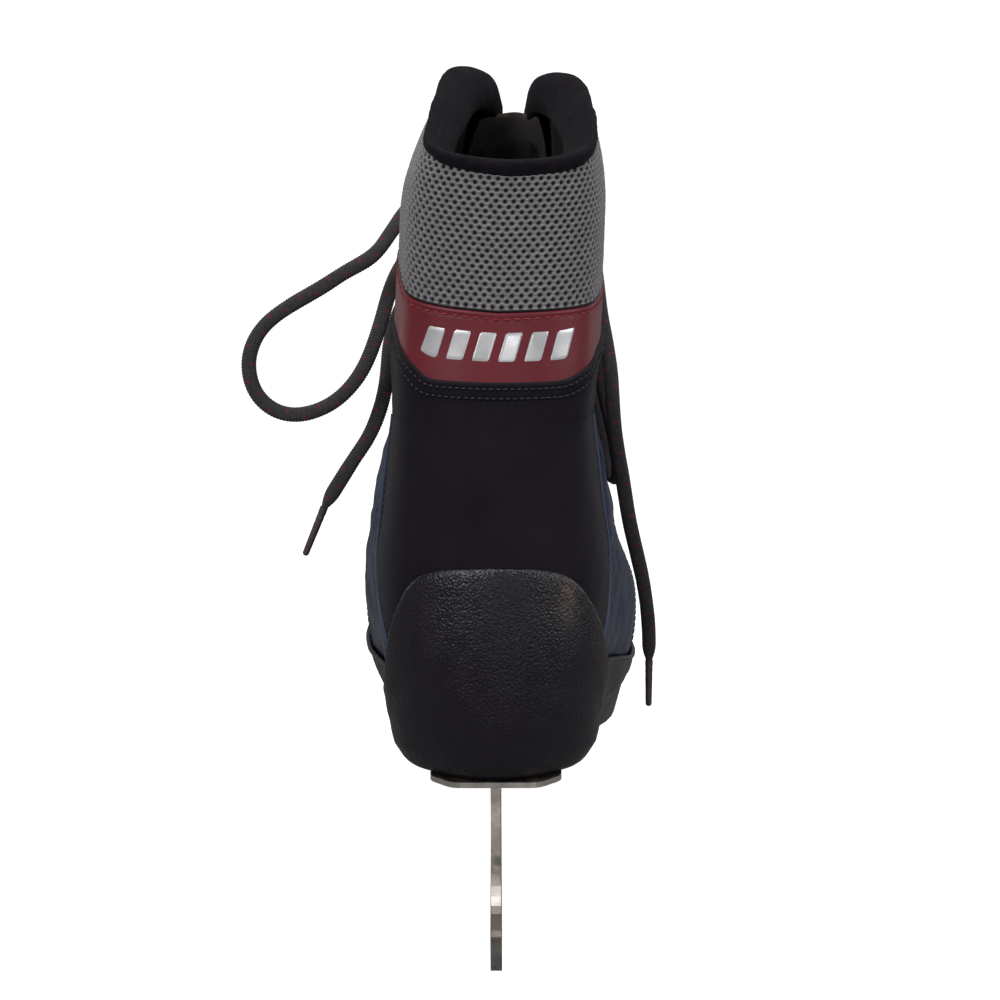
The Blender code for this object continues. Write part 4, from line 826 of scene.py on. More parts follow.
def strand(first, lift):
    side, v = first, EYE_V[0]

    def th(sd, a):
        return a if sd > 0 else 360.0 - a
    path = [(180.0, v, 2.4), (th(side, 170.0), v, 2.4), (th(side, 163.0), v, 2.9), (th(side, EYE_TH + 1.5), v, 2.9),
            (th(side, EYE_TH), v, 1.2), (th(side, EYE_TH), v, -1.6), (th(side, EYE_TH + 1.2), v + 0.02, -3.7)]
    for i in range(1, len(EYE_V)):
        nxt = EYE_V[i]
        start = (th(side, 166.0), v + (nxt - v) * 0.22, -3.9 if i == 1 else 2.3)
        other = -side
        end = (th(other, 166.0), v + (nxt - v) * 0.78, -3.9)
        path += [start] + cross_over(start, end, lift + (1.5 if i == 1 else 0.0)) + [end]
        path += [(th(other, EYE_TH + 1.2), nxt - 0.02, -3.7), (th(other, EYE_TH), nxt, -1.6), (th(other, EYE_TH), nxt, 1.2),
                 (th(other, EYE_TH + 1.5), nxt + 0.02, 2.9)]
        side, v = other, nxt
    for nxt in HOOK_V:
        other = -side
        start = (th(side, 166.0), v + (nxt - v) * 0.22, 2.9)
        end = (th(other, 163.0), nxt - 0.2, 3.1)
        path += [start] + cross_over(start, end, lift, 5) + [end]
        path += [(th(other, EYE_TH + 1.0), nxt - 0.17, 3.1), (th(other, EYE_TH - 5.2), nxt - 0.06, 3.1),
                 (th(other, EYE_TH - 5.2), nxt + 0.06, 3.1), (th(other, EYE_TH + 1.0), nxt + 0.17, 3.1)]
        side, v = other, nxt
    path.append((th(side, 170.0), v + 0.33, 4.4))
    return path


LACED = list(reversed(strand(1, 1.6))) + strand(-1, -1.3)[1:]
lt, lv, ld = (np.array(c, float) for c in zip(*LACED))
lp = smooth_path(pt(lt, lv, ld), 8)
ln = unit(smooth_path(normal(lt, lv), 8))
arc = np.concatenate([[0], np.cumsum(np.linalg.norm(np.diff(lp, axis=0), axis=-1))])
aa = np.linspace(0, arc[-1], int(arc[-1] / 0.42))
lp = relax(np.stack([np.interp(aa, arc, lp[:, k]) for k in range(3)], -1), 4)
ln = unit(np.stack([np.interp(aa, arc, ln[:, k]) for k in range(3)], -1))


def laced_mesh():
    tan = unit(np.gradient(lp, axis=0))
    raw = np.cross(tan, ln)
    mag = np.linalg.norm(raw, axis=-1)
    side = unit(raw)
    for i in range(1, len(side)):
        if (side[i] * side[i - 1]).sum() < 0:
            side[i] = -side[i]
    w = side * (mag[:, None] ** 2)
    for _ in range(16):
        w[1:-1] = w[1:-1] * 0.5 + (w[:-2] + w[2:]) * 0.25
    side = unit(w - (w * tan).sum(-1, keepdims=True) * tan)
    up = np.cross(side, tan)
    through = np.abs((tan * ln).sum(-1))
    for _ in range(8):
        through[1:-1] = through[1:-1] * 0.5 + (through[:-2] + through[2:]) * 0.25
    hw = 2.35 * (1 - 0.42 * through)
    ht = 1.05 * (1 + 0.5 * through)
    n_r = 16
    ang = np.arange(n_r) * math.tau / n_r
    ca, sa = np.cos(ang), np.sin(ang)
    a = aa[:, None]
    chev = np.sin(math.tau * (a / 1.05 + 0.55 * np.abs(ca)[None] * np.sign(sa)[None]))
    ring = (lp[:, None] + side[:, None] * (ca[None] * hw[:, None] * (1 + 0.045 * np.sin(math.tau * a / 1.05)))[..., None]
            + up[:, None] * (sa[None] * ht[:, None] * (1 + 0.06 * chev))[..., None])
    near = np.abs(((a / 6.3) % 1.0) - 0.5) * 6.3
    which = np.where(np.floor(a / 6.3) % 2 < 1, 1.0, -1.0)
    fleck = np.clip(1.25 - near / 0.68, 0, 1) * np.clip(1.25 - np.abs(ca[None] - which * 0.45) / 0.30, 0, 1)
    # Painted shade: darker where the braid's chevron relief dips.
    ob = add_mesh("lace_criss_cross", world(ring), grid_faces(len(lp), n_r, wrap_i=True, flip=True), "lace_braid",
                  {"fleck": fleck, "painted_crease_shade": np.clip(-chev * 0.9 - 0.15, 0, 1)})
    return place(ob, "skate", ["lace_laced"])


laced_mesh()
up_k = unit(pt(180.0, 11.9, 0.0) - pt(180.0, 11.0, 0.0))
out_k = normal(np.array(180.0), np.array(11.42))
side_k = np.cross(out_k, up_k)


def local(x, y, z):
    return knot + side_k * x + up_k * y + out_k * z


ang = np.linspace(-2.5, 2.9, 60)
wrap_k = np.array([local(0.9 * math.sin(a * 0.5), 4.1 * math.sin(a), 4.0 * math.cos(a)) for a in ang])
left_k = np.array([local(x, y, z) for x, y, z in ((9.4, 2.2, -0.6), (6.4, 2.3, 0.4), (3.4, 1.2, 1.2), (0.0, -0.2, 1.0), (-3.4, -1.6, 0.6),
                                                 (-6.6, -2.2, -0.2), (-9.2, -2.4, -1.0))])
right_k = np.array([local(x, y, z) for x, y, z in ((-9.4, 2.6, -0.4), (-6.0, 2.5, 0.2), (-3.0, 1.4, -0.4), (0.4, 0.2, -0.8), (3.6, -1.2, -0.2),
                                                  (6.4, -2.2, 0.6), (9.2, -2.6, -0.6))])
under_k = np.array([local(x, y, z) for x, y, z in ((-8.6, 0.2, -2.8), (-4.0, 0.6, -3.4), (0.0, 0.4, -3.8), (4.0, -0.4, -3.4), (8.6, -1.0, -2.8))])
paths = [relax(resample(smooth_path(q, 8), 0.3)[0], 6) for q in (wrap_k, left_k, right_k, under_k)]
faces_k = [lambda p: unit(p - knot), tuple(out_k), tuple(out_k), tuple(out_k)]
lace_piece("lace_bow_knot", paths, 2.55, 1.25, ["lace_knot"], faces_k)

# ---------------------------------------------------------------- cup sole
HALF = 150
ANG = np.concatenate([np.linspace(0, 180, HALF + 1), -np.linspace(180, 0, HALF + 1)[1:-1]])


def sole_mesh():
    fox = v_fox(ANG)
    nrm = normal(ANG, np.zeros_like(ANG))
    nrm[:, 2] = 0
    plan = unit(nrm)
    base = surf(ANG, np.zeros_like(ANG))
    loops, scuff_and_sheen = [], []

    def low(inset, rise):
        p = base + plan * (inset + 1.7 * pchip(np.abs(ANG), [(0, 0), (18, 0), (32, 1), (56, 1), (76, 0), (180, 0)]))[:, None]
        return np.stack([p[:, 0], p[:, 1], bottom_z(p[:, 1]) + rise], -1)
    for inset, rise in ((-12.0, 0.0), (-6.0, 0.0), (-3.6, 0.2), (-2.0, 0.8), (-0.7, 1.7), (0.3, 2.8)):
        loops.append(low(inset, rise))
    fr = np.linspace(0.03, 0.975, 46)
    off = pchip(fr, [(0.03, 2.3), (0.2, 2.7), (0.38, 2.8), (0.56, CUP_WALL + 0.2), (0.74, CUP_WALL + 0.3), (0.9, CUP_WALL + 0.3),
                     (0.975, CUP_WALL + 0.1)])
    for f, o in zip(fr, off):
        v = 0.12 + (fox - 0.12) * f
        p = surf(ANG, v)
        bumpy = 0.18 * fbm(p / 18.0)
        # moulded line that separates the outsole from the wall
        hgt = (v - 0.12) * 17.0
        line = -0.55 * np.exp(-((hgt - 5.0) / 0.55) ** 2) * np.clip((np.abs(ANG) - 62) / 12, 0, 1)
        waist = 1.8 * pchip(np.abs(ANG), [(0, 0), (42, 0), (58, 1), (100, 1), (122, 0), (180, 0)]) * np.clip((v - 0.45) / 0.5, 0, 1)
        heelcorner = 1.9 * pchip(np.abs(ANG), [(0, 0), (18, 0), (32, 1), (56, 1), (76, 0), (180, 0)]) * np.clip(1 - v / 1.1, 0, 1)
        loops.append(pt(ANG, v, o + bumpy + line - waist + heelcorner))
    for dv, o in ((-0.012, 2.75), (0.008, 2.45), (0.022, 2.0), (0.028, 1.5), (0.024, 1.0)):
        loops.append(pt(ANG, fox + dv, o))
    flo = v_at_floor(ANG, 0.0)
    for f in (0.0, 0.3, 0.6, 0.85):
        loops.append(pt(ANG, fox - 0.04 + (flo - fox + 0.04) * f, CUP_GAP))
    q = pt(ANG, flo, CUP_GAP)
    loops.append(np.stack([q[:, 0], q[:, 1], floor_z(q[:, 1])], -1))
    L = np.array(loops)
    n = L.shape[1]
    faces = [grid_faces(len(L), n, wrap_i=True, flip=True)]
    i = np.arange(HALF)
    a, b = i, i + 1
    c, d = (n - i - 1) % n, (n - i) % n
    cap = np.stack([a, b, c, d], -1)
    faces.append(cap)
    faces.append((cap + (len(L) - 1) * n)[:, ::-1])
    P = L.reshape(-1, 3)
    # worn patch on the lateral shoulder of the counter, plus painted reflection: a lighter brownish tone along the
    # lateral edge of the counter and, mottled, on the lateral wall of the fore sole
    spot = np.exp(-(((P[:, 0] - 25.5) / 3.6) ** 2 + ((P[:, 2] - 128.0) / 8.0) ** 2)) * (P[:, 1] < 60)
    scuff_and_sheen = spot * np.clip(0.45 + 0.9 * noise3(P / 1.6), 0, 1) * 0.75
    painted_rim_light = np.clip((P[:, 0] - 33.0) / 6.0, 0, 1) * np.exp(-((P[:, 1] - 18) / 22.0) ** 2) * 0.10
    painted_wall_sheen = np.clip((P[:, 1] - 110) / 30.0, 0, 1) * np.clip((P[:, 0]) / 20, 0, 1) * np.clip(0.45 + 0.8 * fbm(P / 5.0), 0, 1) * 0.9
    ob = add_mesh("sole_cup", world(P), np.concatenate(faces), "rubber_grain", {"scuff_and_sheen": np.clip(scuff_and_sheen + painted_rim_light + painted_wall_sheen, 0, 1)})
    return place(ob, "skate", ["sole_unit"])


sole_mesh()

# ---------------------------------------------------------------- outer panels
def crease_field(p, size, seed):
    q = p @ np.array([[0.82, 0.25, 0.50], [-0.20, 0.95, -0.15], [-0.50, 0.05, 0.86]])
    return fbm(q / np.array(size) + seed)


def heel_fn(s, t):
    u = s * 2 - 1
    th = u * 60.0
    lower = t < 0.72
    mid = (t >= 0.72) & (t < 0.80)
    v_mid = 7.80 + 0.50 * (t - 0.72) / 0.08
    for _ in range(10):
        v_low = v_foot(th) - 0.25 + (7.80 - v_foot(th) + 0.25) * t / 0.72
        v_high = 8.30 + (v_band_low(th) - 8.30) * (t - 0.80) / 0.20
        v = np.where(lower, v_low, np.where(mid, v_mid, v_high))
        e = np.clip((v - 7.93) / 0.20, 0, 1)
        e = e * e * (3 - 2 * e)
        half = np.where(lower, th_heel(v), np.where(mid, th_heel(np.minimum(v, 8.02)) * (1 - e) + (EYESTAY_BACK - 1.3) * e,
                                                    EYESTAY_BACK - 1.3))
        th = u * half
    return th, v


def mm_per_ring(th, v):
    return np.linalg.norm(surf(th, v + 0.05) - surf(th, v - 0.05), axis=-1) / 0.1


def heel_relief(p, th, v, b):
    top, sides = b[3], np.minimum(b[0], b[1])
    d = 0.30 * fbm(p / 26.0) + 0.10 * noise3(p / 7.0)
    d = d + groove(top, 2.5, 0.55, 0.28) + groove(top, 5.8, 0.55, 0.28)
    d = d + 0.35 * np.exp(-(top / 5.0) ** 2)
    wing = np.abs(th) > 71.0
    under = (v - 8.03) * 17.0
    x = np.clip(under / 1.1, 0, 1)
    d = d - np.where(wing, 1.0 * (1 - np.sqrt(np.clip(1 - (1 - x) ** 2, 0, 1))), 0.0)
    d = d + np.where(v < 8, groove(sides, 2.2, 0.5, 0.22), 0.0)
    return d


# Painted reflection: lighter brownish tone on the lower lateral side of the heel panel, mottled by noise, plus a
# lighter tone along the panel's top border.
def painted_sheen_and_top_edge_mask(p, th, v, b):
    low = np.clip((150 - p[..., 2]) / 40.0, 0, 1) * np.clip((p[..., 0] - 22) / 10, 0, 1) * np.clip(0.2 + 0.9 * fbm(p / 9.0), 0, 1)
    return np.clip(low * 0.6 + 0.25 * np.exp(-(b[3] / 0.8) ** 2), 0, 1)


panel("heel_panel_nubuck", heel_fn, 240, 260, 110, 120, "nubuck_black", heel_relief, lift=0.75, r=1.2,
      attributes={"painted_sheen_and_top_edge": painted_sheen_and_top_edge_mask}, nodes=["heel_panel"])

edge_th = np.linspace(-(EYESTAY_BACK - 4), EYESTAY_BACK - 4, 900)
rows = [offset_curve(edge_th, v_band_low(edge_th), -mm) for mm in (2.5, 5.8)]
stitches("heel_panel_thread_top", rows, 2.4, 0.95, 0.50, "thread_black", lift=0.95)
seam_rows = []
for sg in (1, -1):
    vv = np.linspace(0.6, 7.75, 500)
    seam_rows.append((sg * (th_heel(vv) - 3.0), vv))
stitches("heel_panel_thread_sides", seam_rows, 2.6, 0.68, 0.30, "thread_black", lift=0.72)


def band_fn(s, t):
    th = mixv(-(EYESTAY_BACK - 0.25), EYESTAY_BACK - 0.25, s)
    return th, mixv(v_band_low(th) - 0.12, v_band_top(th) - 0.012, t)


def band_relief(p, th, v, b):
    return 0.16 * fbm(p / 22.0) + groove(b[3], 2.2, 0.5, 0.20) + 0.10 * np.exp(-(b[3] / 1.6) ** 2)


panel("ankle_band_skin", band_fn, 420, 44, 250, 24, "burgundy_skin", band_relief, lift=0.20, r=0.9, nodes=["ankle_band"])
tt = v_band_top(edge_th)
stitches("ankle_band_thread", [offset_curve(edge_th, tt - 0.012, -2.2)], 3.6, 0.62, 0.36, "thread_red", lift=0.30)
bead("band_shadow_piping", edge_th, tt + 0.02, -0.15, 0.42, "thread_black")

# mesh cuff: woven relief with staggered oval openings
PITCH_S, PITCH_T = 3.2, 1.95


def cuff_fn(s, t):
    th = mixv(-(EYESTAY_BACK - 0.25), EYESTAY_BACK - 0.25, s)
    return th, mixv(v_band_top(th) + 0.03, v_cuff_top(th) + 0.10, t)


def cuff_cells(p, th, v, b):
    mid = th.shape[1] // 2
    arc = b[0] - b[0][:, mid:mid + 1]
    ref_arc = arc[th.shape[0] // 2][None, :] * np.ones((th.shape[0], 1))
    x = ref_arc / PITCH_S
    y = b[2] / PITCH_T
    row = np.floor(y)
    fx = (x + 0.5 * (row % 2)) % 1.0 - 0.5
    fy = y - row - 0.5
    return fx, fy, row, x


def cuff_hole(p, th, v, b):
    fx, fy, row, x = cuff_cells(p, th, v, b)
    jit = 0.05 * noise3(np.stack([np.floor(x + 0.5 * (row % 2)) * 1.7, row * 1.3, row * 0 + 0.5], -1))
    r2 = ((fx + jit) / 0.285) ** 2 + (fy / 0.40) ** 2
    h = np.clip(1.35 - r2, 0, 1)
    return h * h * (3 - 2 * h)


def cuff_relief(p, th, v, b):
    fx, fy, row, x = cuff_cells(p, th, v, b)
    hole = cuff_hole(p, th, v, b)
    # yarn ridges round each opening, and fine knitted ribs across them
    ridge = 0.16 * np.cos(math.tau * fy) * np.cos(math.tau * fx)
    rib = 0.05 * np.sin(math.tau * (b[2] / 0.65)) * (1 - hole)
    soft = 0.20 * fbm(p / 18.0)
    return ridge + rib + soft - 0.85 * hole


panel("cuff_mesh_knit", cuff_fn, 660, 130, 250, 50, "mesh_grey", cuff_relief, lift=-0.15, r=0.8, roll=(1, 1, 0, 1),
      attributes={"hole": cuff_hole}, nodes=["cuff_mesh"])

# generic slanted bars printed on the ankle band, in place of the maker's word
def silver_bars():
    co, fs, base = [], [], 0
    n_bars, x0, x1 = 6, -25.5, 28.6
    pitch = (x1 - x0) / n_bars
    thx = np.linspace(-60, 60, 481)
    vb = mixv(v_band_low(thx), v_band_top(thx), 0.5)
    xs = surf(thx, vb)[:, 0]
    for k in range(n_bars):
        nu, nv = 16, 14
        u, w = np.meshgrid(np.linspace(0, 1, nu), np.linspace(0, 1, nv))
        width, slant = pitch * 0.66, 2.8
        zc = 0.30 + 0.42 * w
        inset = 0.06 * (1 - np.sqrt(np.clip(1 - (np.abs(2 * w - 1) ** 12), 0, 1)))
        xx = x0 + pitch * k + pitch * 0.16 + width * (inset + u * (1 - 2 * inset)) + slant * (w - 0.5)
        th = np.interp(xx, xs, thx)
        v = mixv(v_band_low(th), v_band_top(th), zc)
        d = 0.20 + 0.16 * fbm(surf(th, v) / 22.0) + 0.13
        P = pt(th, v, d)
        border = (u < 1e-6) | (u > 1 - 1e-6) | (w < 1e-6) | (w > 1 - 1e-6)
        P = P - normal(th, v) * (border * 0.16)[..., None]
        co.append(P.reshape(-1, 3))
        fs.append(grid_faces(nv, nu) + base)
        base += nu * nv
    ob = add_mesh("band_print_bars", world(np.concatenate(co)), np.concatenate(fs), "silver_print")
    return place(ob, "skate", ())


silver_bars()


def quarter_fn(sign):
    def fn(s, t):
        if sign < 0:
            s = 1 - s
        v = 0.5 + 7.6 * t
        for _ in range(10):
            a = mixv(th_heel(v) - 3.5, th_quarter_front(v) - 0.25, s)
            v = mixv(v_foot(sign * a) - 0.2, QUARTER_TOP + 0.12, t)
        return sign * a, v
    return fn


def quarter_relief(seed):
    def fn(p, th, v, b):
        c = crease_field(p, (26.0, 34.0, 11.0), seed)
        fine = crease_field(p, (9.0, 15.0, 4.0), seed + 4)
        ankle = np.clip((p[..., 2] - 95.0) / 30.0, 0.25, 1)
        near = np.minimum(np.minimum(b[0], b[1]), b[3])
        fade = np.clip(near / 9.0, 0.15, 1)
        fold = -0.9 * np.clip(1 - np.abs(c) / 0.11, 0, 1) ** 2
        return (0.75 * c + 0.16 * fine + fold * 0.45) * ankle * fade
    return fn


for label, sg, seed in (("lateral", 1, 2.0), ("medial", -1, 9.0)):
    panel("quarter_leather_" + label, quarter_fn(sg), 150, 190, 90, 130, "navy_gloss", quarter_relief(seed), lift=0.0, r=1.0,
          nodes=["quarter_" + label])
    vv = np.linspace(0.5, 7.9, 400)
    bead("quarter_piping_" + label, sg * (th_heel(vv) + 0.75), vv, 0.45, 0.62, "navy_edge", width=0.95)
    vq = np.linspace(0.9, 5.8, 400)
    stitches("quarter_thread_" + label, [(sg * (th_quarter_front(vq) - 2.4), vq), (sg * (th_quarter_front(vq) - 4.2), vq),
                                         (sg * (th_heel(vv) + 4.2), vv)], 2.5, 0.7, 0.30, "thread_navy", lift=0.12)


def vamp_fn(s, t):
    v = 0.5 + 5.0 * t
    for _ in range(12):
        q = th_quarter_front(np.minimum(v, 5.95)) - 1.2
        th = mixv(q, 360.0 - q, s)
        v = mixv(v_cap(th) - 0.05, v_vamp_top(th), t)
    return th, v


def vamp_relief(p, th, v, b):
    flex = np.exp(-((p[..., 1] - 205.0) / 26.0) ** 2)
    wave = 0.5 * np.sin(p[..., 1] / 3.4 + 1.2 * noise3(p / 12.0)) * flex
    return -0.35 + 0.35 * wave + 0.35 * fbm(p / 16.0) * np.clip(np.minimum(b[0], b[1]) / 8.0, 0, 1)


def cap_fn(s, t):
    th = 180.0 + mixv(-61.0, 61.0, s)
    return th, mixv(v_foot(th) - 0.2, v_cap(th), t)


panel("vamp_leather", vamp_fn, 220, 130, 210, 110, "navy_gloss", vamp_relief, lift=0.0, r=1.0, nodes=["vamp"])
panel("toe_cap_leather", cap_fn, 200, 70, 190, 55, "navy_gloss", lambda p, th, v, b: 0.22 * fbm(p / 20.0) + groove(b[3], 2.4, 0.5, 0.2),
      lift=0.75, r=1.2, nodes=["toe_cap"])
cth = np.linspace(180 - 58.0, 180 + 58.0, 500)
stitches("toe_cap_thread", [offset_curve(cth, v_cap(cth), -2.4), offset_curve(cth, v_cap(cth), -4.6)], 2.5, 0.7, 0.30, "thread_navy",
         lift=0.80)

# ---------------------------------------------------------------- eyestays
def stay_fn(sign):
    def fn(s, t):
        if sign < 0:
            s = 1 - s
        a = mixv(EYESTAY_BACK + 0.25, THROAT, s)
        lo = pchip(a, [(146, 5.96), (THROAT, 5.78)])
        hi = pchip(a, [(146, float(v_cuff_top(146.0)) + 0.08), (158, 12.72), (THROAT, 12.50)])
        return sign * a, mixv(lo, hi, t)
    return fn


def stay_relief(sign):
    spots = [pt(sign * EYE_TH, v) for v in EYE_V]

    def fn(p, th, v, b):
        d = 0.18 * fbm(p / 15.0) + 0.0
        for q in spots:
            r = np.linalg.norm(p - q, axis=-1)
            d = d - 3.4 * np.clip((2.45 - r) / 0.35, 0, 1)
        return d
    return fn


for label, sg in (("lateral", 1), ("medial", -1)):
    panel("eyestay_leather_" + label, stay_fn(sg), 60, 300, 22, 125, "navy_gloss", stay_relief(sg), lift=0.35, r=1.1,
          nodes=["eyestay_" + label])
    ve = np.linspace(6.15, 12.0, 500)
    stitches("eyestay_thread_" + label, [(sg * (np.full(500, EYESTAY_BACK + 2.2)), ve), (sg * (np.full(500, THROAT - 2.0)), ve)],
             2.5, 0.7, 0.30, "thread_navy", lift=0.5)

# ---------------------------------------------------------------- padded and lined parts
def pillow(name, fn, ns, nt, mid, thick, mat, nodes, body="skate", noise_mm=0.25, noise_cell=6.0, wrap_s=False, edge=0.14,
           attributes=None):
    """Closed crowned pad between d = mid - thick and d = mid + thick on the boot surface, thin at its border."""
    s = np.linspace(0, 1, ns, endpoint=not wrap_s)
    e = np.array([0, 0.004, 0.012, 0.026, 0.05])
    t = np.concatenate([e, np.linspace(0.08, 0.92, nt), (1 - e)[::-1]])
    if not wrap_s:
        s = np.concatenate([e, np.linspace(0.08, 0.92, ns), (1 - e)[::-1]])
    ss, tt2 = np.meshgrid(s, t)
    th, v = fn(ss, tt2)
    prof = np.clip(np.minimum(tt2, 1 - tt2) / edge, 0, 1)
    if not wrap_s:
        prof = np.minimum(prof, np.clip(np.minimum(ss, 1 - ss) / edge, 0, 1))
    prof = np.sqrt(np.clip(1 - (1 - prof) ** 2, 0, 1))
    p = surf(th, v)
    m = mid(th, v) if callable(mid) else mid
    h = thick(th, v) if callable(thick) else thick
    wob = noise_mm * fbm(p / noise_cell)
    front = pt(th, v, m + h * prof + wob * prof)
    backs = pt(th, v, m - h * prof - wob * prof)
    n_t, n_s = th.shape
    f1 = grid_faces(n_t, n_s, wrap_i=wrap_s)
    f2 = grid_faces(n_t, n_s, wrap_i=wrap_s, flip=True) + n_t * n_s
    extra = {k: np.concatenate([f(p, th, v).ravel(), f(p, th, v).ravel()]) for k, f in (attributes or {}).items()}
    ob = add_mesh(name, world(np.concatenate([front.reshape(-1, 3), backs.reshape(-1, 3)])), np.concatenate([f1, f2]), mat, extra)
    place(ob, body, nodes)
    return ob


def tongue_d(v):
    return pchip(v, [(5.0, -5.9), (9.0, -5.9), (11.5, -7.6), (13.0, -7.8)])


def tongue_fn(spread, low, high):
    def fn(s, t):
        v = mixv(low, high, t)
        w = spread * pchip(v, [(5.2, 0.86), (7.0, 1.0), (11.8, 1.0), (12.4, 0.94), (12.8, 0.80)])
        return 180.0 + mixv(-w, w, s), v
    return fn


# Painted highlight: lighter brownish band along the tongue's top edge, broken up by noise.
pillow("tongue_face", tongue_fn(44.0, 5.4, 12.74), 70, 110, lambda th, v: tongue_d(v) - 0.7, 0.95, "tongue_skin", ["tongue"],
       body="tongue_flap", noise_mm=0.3, noise_cell=14.0, edge=0.04,
       attributes={"painted_rim_light": lambda p, th, v: np.clip((v - 12.64) / 0.06, 0, 1) * np.clip(0.2 + noise3(p / 9.0), 0, 1)})
pillow("tongue_padding", tongue_fn(40.0, 5.7, 12.38), 60, 100, lambda th, v: tongue_d(v) - 4.5, 2.2, "fleece_inner", ["tongue_pad"],
       body="tongue_flap", noise_mm=0.5, noise_cell=9.0, edge=0.16)
pillow("tongue_lace_keeper", lambda s, t: (180.0 + mixv(-12.0, 12.0, s), mixv(9.45, 9.75, t)), 30, 12,
       lambda th, v: tongue_d(9.6) + 1.1, 0.6, "nubuck_black", ["tongue_loop"], body="tongue_flap", noise_mm=0.05, edge=0.1)
pillow("ankle_padding", lambda s, t: (mixv(-141.0, 141.0, s), mixv(5.36, v_cuff_top(mixv(-141.0, 141.0, s)) + 0.25, t)), 240, 120,
       -3.75, lambda th, v: 1.25 + 0.35 * np.clip((v - 9.0) / 3.0, 0, 1), "fleece_inner", ["ankle_lining"],
       noise_mm=0.35, noise_cell=12.0, edge=0.03)
pillow("forefoot_padding", lambda s, t: (-180.0 + 360.0 * s, mixv(v_foot(-180.0 + 360.0 * s), 5.3, t)), 200, 60, -5.15, 1.2,
       "fleece_inner", ["vamp_lining"], noise_mm=0.2, noise_cell=12.0, wrap_s=True, edge=0.04)


def collar_mesh():
    nc, ns = 420, 40
    th = mixv(-171.5, 167.5, np.linspace(0, 1, nc))
    mid, half = collar(th)
    along = np.abs(th) + np.where(th > 0, 4.0, 0.0) * np.clip((np.abs(th) - 140.0) / 20.0, 0, 1)
    shrink = pchip(along, [(160, 1.0), (168, 0.8), (171.5, 0.45)])
    a = np.arange(ns) * math.tau / ns
    ca, sa = np.cos(a), np.sin(a)
    T = np.broadcast_to(th[:, None], (nc, ns))
    round_s = np.sign(sa) * np.abs(sa) ** 0.9
    drop = pchip(along, [(0, 0.20), (60, 0.36), (100, 0.36), (140, 0.18), (172, 0.0)])
    V = mid[:, None] + half[:, None] * round_s[None] - drop[:, None] * ((1 - ca) / 2)[None]
    fat = pchip(along, [(0, 5.2), (20, 5.8), (45, 6.8), (75, 7.2), (110, 7.8), (135, 7.8), (150, 6.6), (165, 4.8), (172, 4.0)])
    lobe = 3.0 * np.exp(-((np.abs(th) - 128.0) / 26.0) ** 2)
    D = (1.4 - fat)[:, None] + (fat * shrink)[:, None] * (np.sign(ca) * np.abs(ca) ** 0.85)[None]
    base = surf(T, V)
    tuck = 0.18 * np.sin(np.radians(T) * 23 + 2 * noise3(base / 14.0)) * np.clip(-sa, 0, 1)[None] ** 2
    D = D + lobe[:, None] * (0.5 + 0.5 * sa)[None]
    D = D + 0.45 * fbm(base / 9.0) + 0.15 * noise3(base / 2.6) + tuck
    P = pt(T, V, D)
    ends = []
    faces = [grid_faces(nc, ns, wrap_i=True, flip=True)]
    n = nc * ns
    P = P.reshape(-1, 3)
    c0, c1 = P[:ns].mean(0), P[-ns:].mean(0)
    P = np.concatenate([P, [c0, c1]])
    i = np.arange(ns)
    faces.append(np.stack([i, (i + 1) % ns, np.full(ns, n), np.full(ns, n)], -1)[:0])
    ob = add_mesh("collar_roll", world(P), np.concatenate(faces), "fleece_black")
    place(ob, "skate", ["collar_pad"])
    return ob


collar_mesh()

# ---------------------------------------------------------------- light, floor and backdrop
scene = bpy.context.scene
scene.view_settings.view_transform = "Standard"
scene.view_settings.look = "None"
w = bpy.data.worlds.new("studio")
scene.world = w
w.use_nodes = True
wb = w.node_tree.nodes["Background"]
wb.inputs["Color"].default_value = (1, 1, 1, 1)
wb.inputs["Strength"].default_value = 0.17


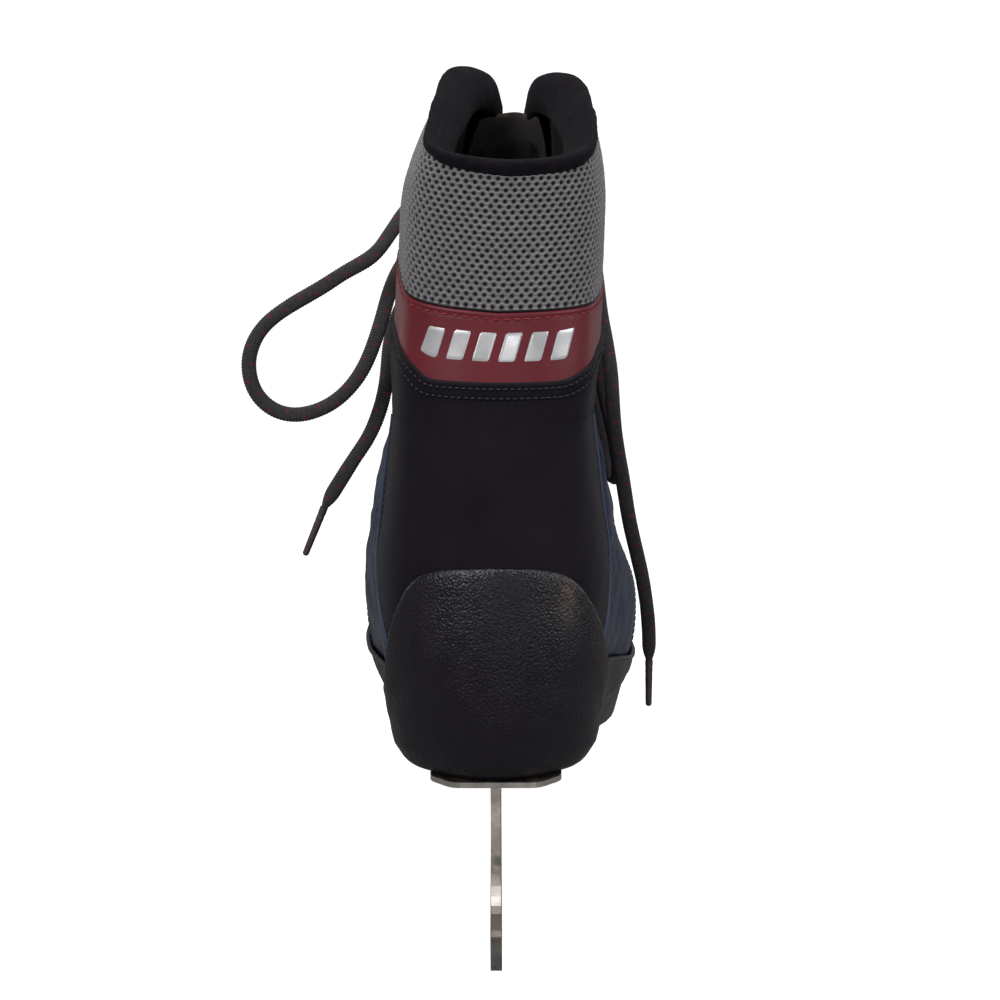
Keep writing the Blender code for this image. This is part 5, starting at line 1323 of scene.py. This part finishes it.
def stage_material(name, diffuse, emit):
    m = bpy.data.materials.new(name)
    m.use_nodes = True
    b = m.node_tree.nodes["Principled BSDF"]
    b.inputs["Base Color"].default_value = (diffuse, diffuse, diffuse, 1)
    b.inputs["Roughness"].default_value = 0.9
    b.inputs["Specular IOR Level"].default_value = 0.1
    b.inputs["Emission Color"].default_value = (1, 1, 1, 1)
    b.inputs["Emission Strength"].default_value = emit
    return m


def backdrop():
    """Pale floor that curves up behind the object."""
    ys = [-2.6] + list(np.linspace(-2.2, 1.0, 9))
    prof = [(y, 0.0) for y in ys] + [(1.0 + 0.9 * math.sin(a), 0.9 * (1 - math.cos(a))) for a in np.linspace(0.12, math.pi / 2, 12)]
    prof += [(1.9, z) for z in (1.4, 2.4, 3.4)]
    co = np.array([[(x, y, z) for x in np.linspace(-3.0, 3.0, 9)] for y, z in prof])
    MATS["stage_white"] = stage_material("stage_white", 0.60, 0.86)
    ob = add_mesh("floor_sweep", co, grid_faces(len(prof), 9), "stage_white")
    ob.visible_glossy = False
    ob.visible_diffuse = False
    ob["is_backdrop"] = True


backdrop()


def area(name, loc, target, size, energy, colour=(1, 1, 1), size_y=None):
    li = bpy.data.lights.new(name, "AREA")
    li.shape = "RECTANGLE"
    li.size, li.size_y = size, size_y or size
    li.energy = energy
    li.color = colour
    ob = bpy.data.objects.new(name, li)
    scene.collection.objects.link(ob)
    ob.location = loc
    ob.rotation_mode = "QUATERNION"
    ob.rotation_quaternion = (Vector(target) - Vector(loc)).to_track_quat("-Z", "Y")
    return ob


area("top_soft", (0.0, -0.25, 1.35), (0, -0.05, 0.15), 0.9, 11.0)
area("left_soft", (-0.75, -1.05, 0.85), (0, -0.05, 0.16), 0.5, 11.0, size_y=0.8)
area("right_soft", (1.05, -0.55, 0.60), (0, -0.05, 0.16), 0.5, 6.5, size_y=0.9)
area("low_front", (0.22, -1.15, 0.12), (0, 0, 0.06), 0.34, 0.85, size_y=0.22)
area("rim_left", (-0.75, 0.75, 0.45), (0, -0.05, 0.16), 0.12, 0.8, size_y=0.9)
area("rim_right", (0.80, 0.70, 0.45), (0, -0.05, 0.16), 0.12, 0.9, size_y=0.9)

_lo, _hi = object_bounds()
SIZE["visual_low"], SIZE["visual_high"] = list(_lo), list(_hi)
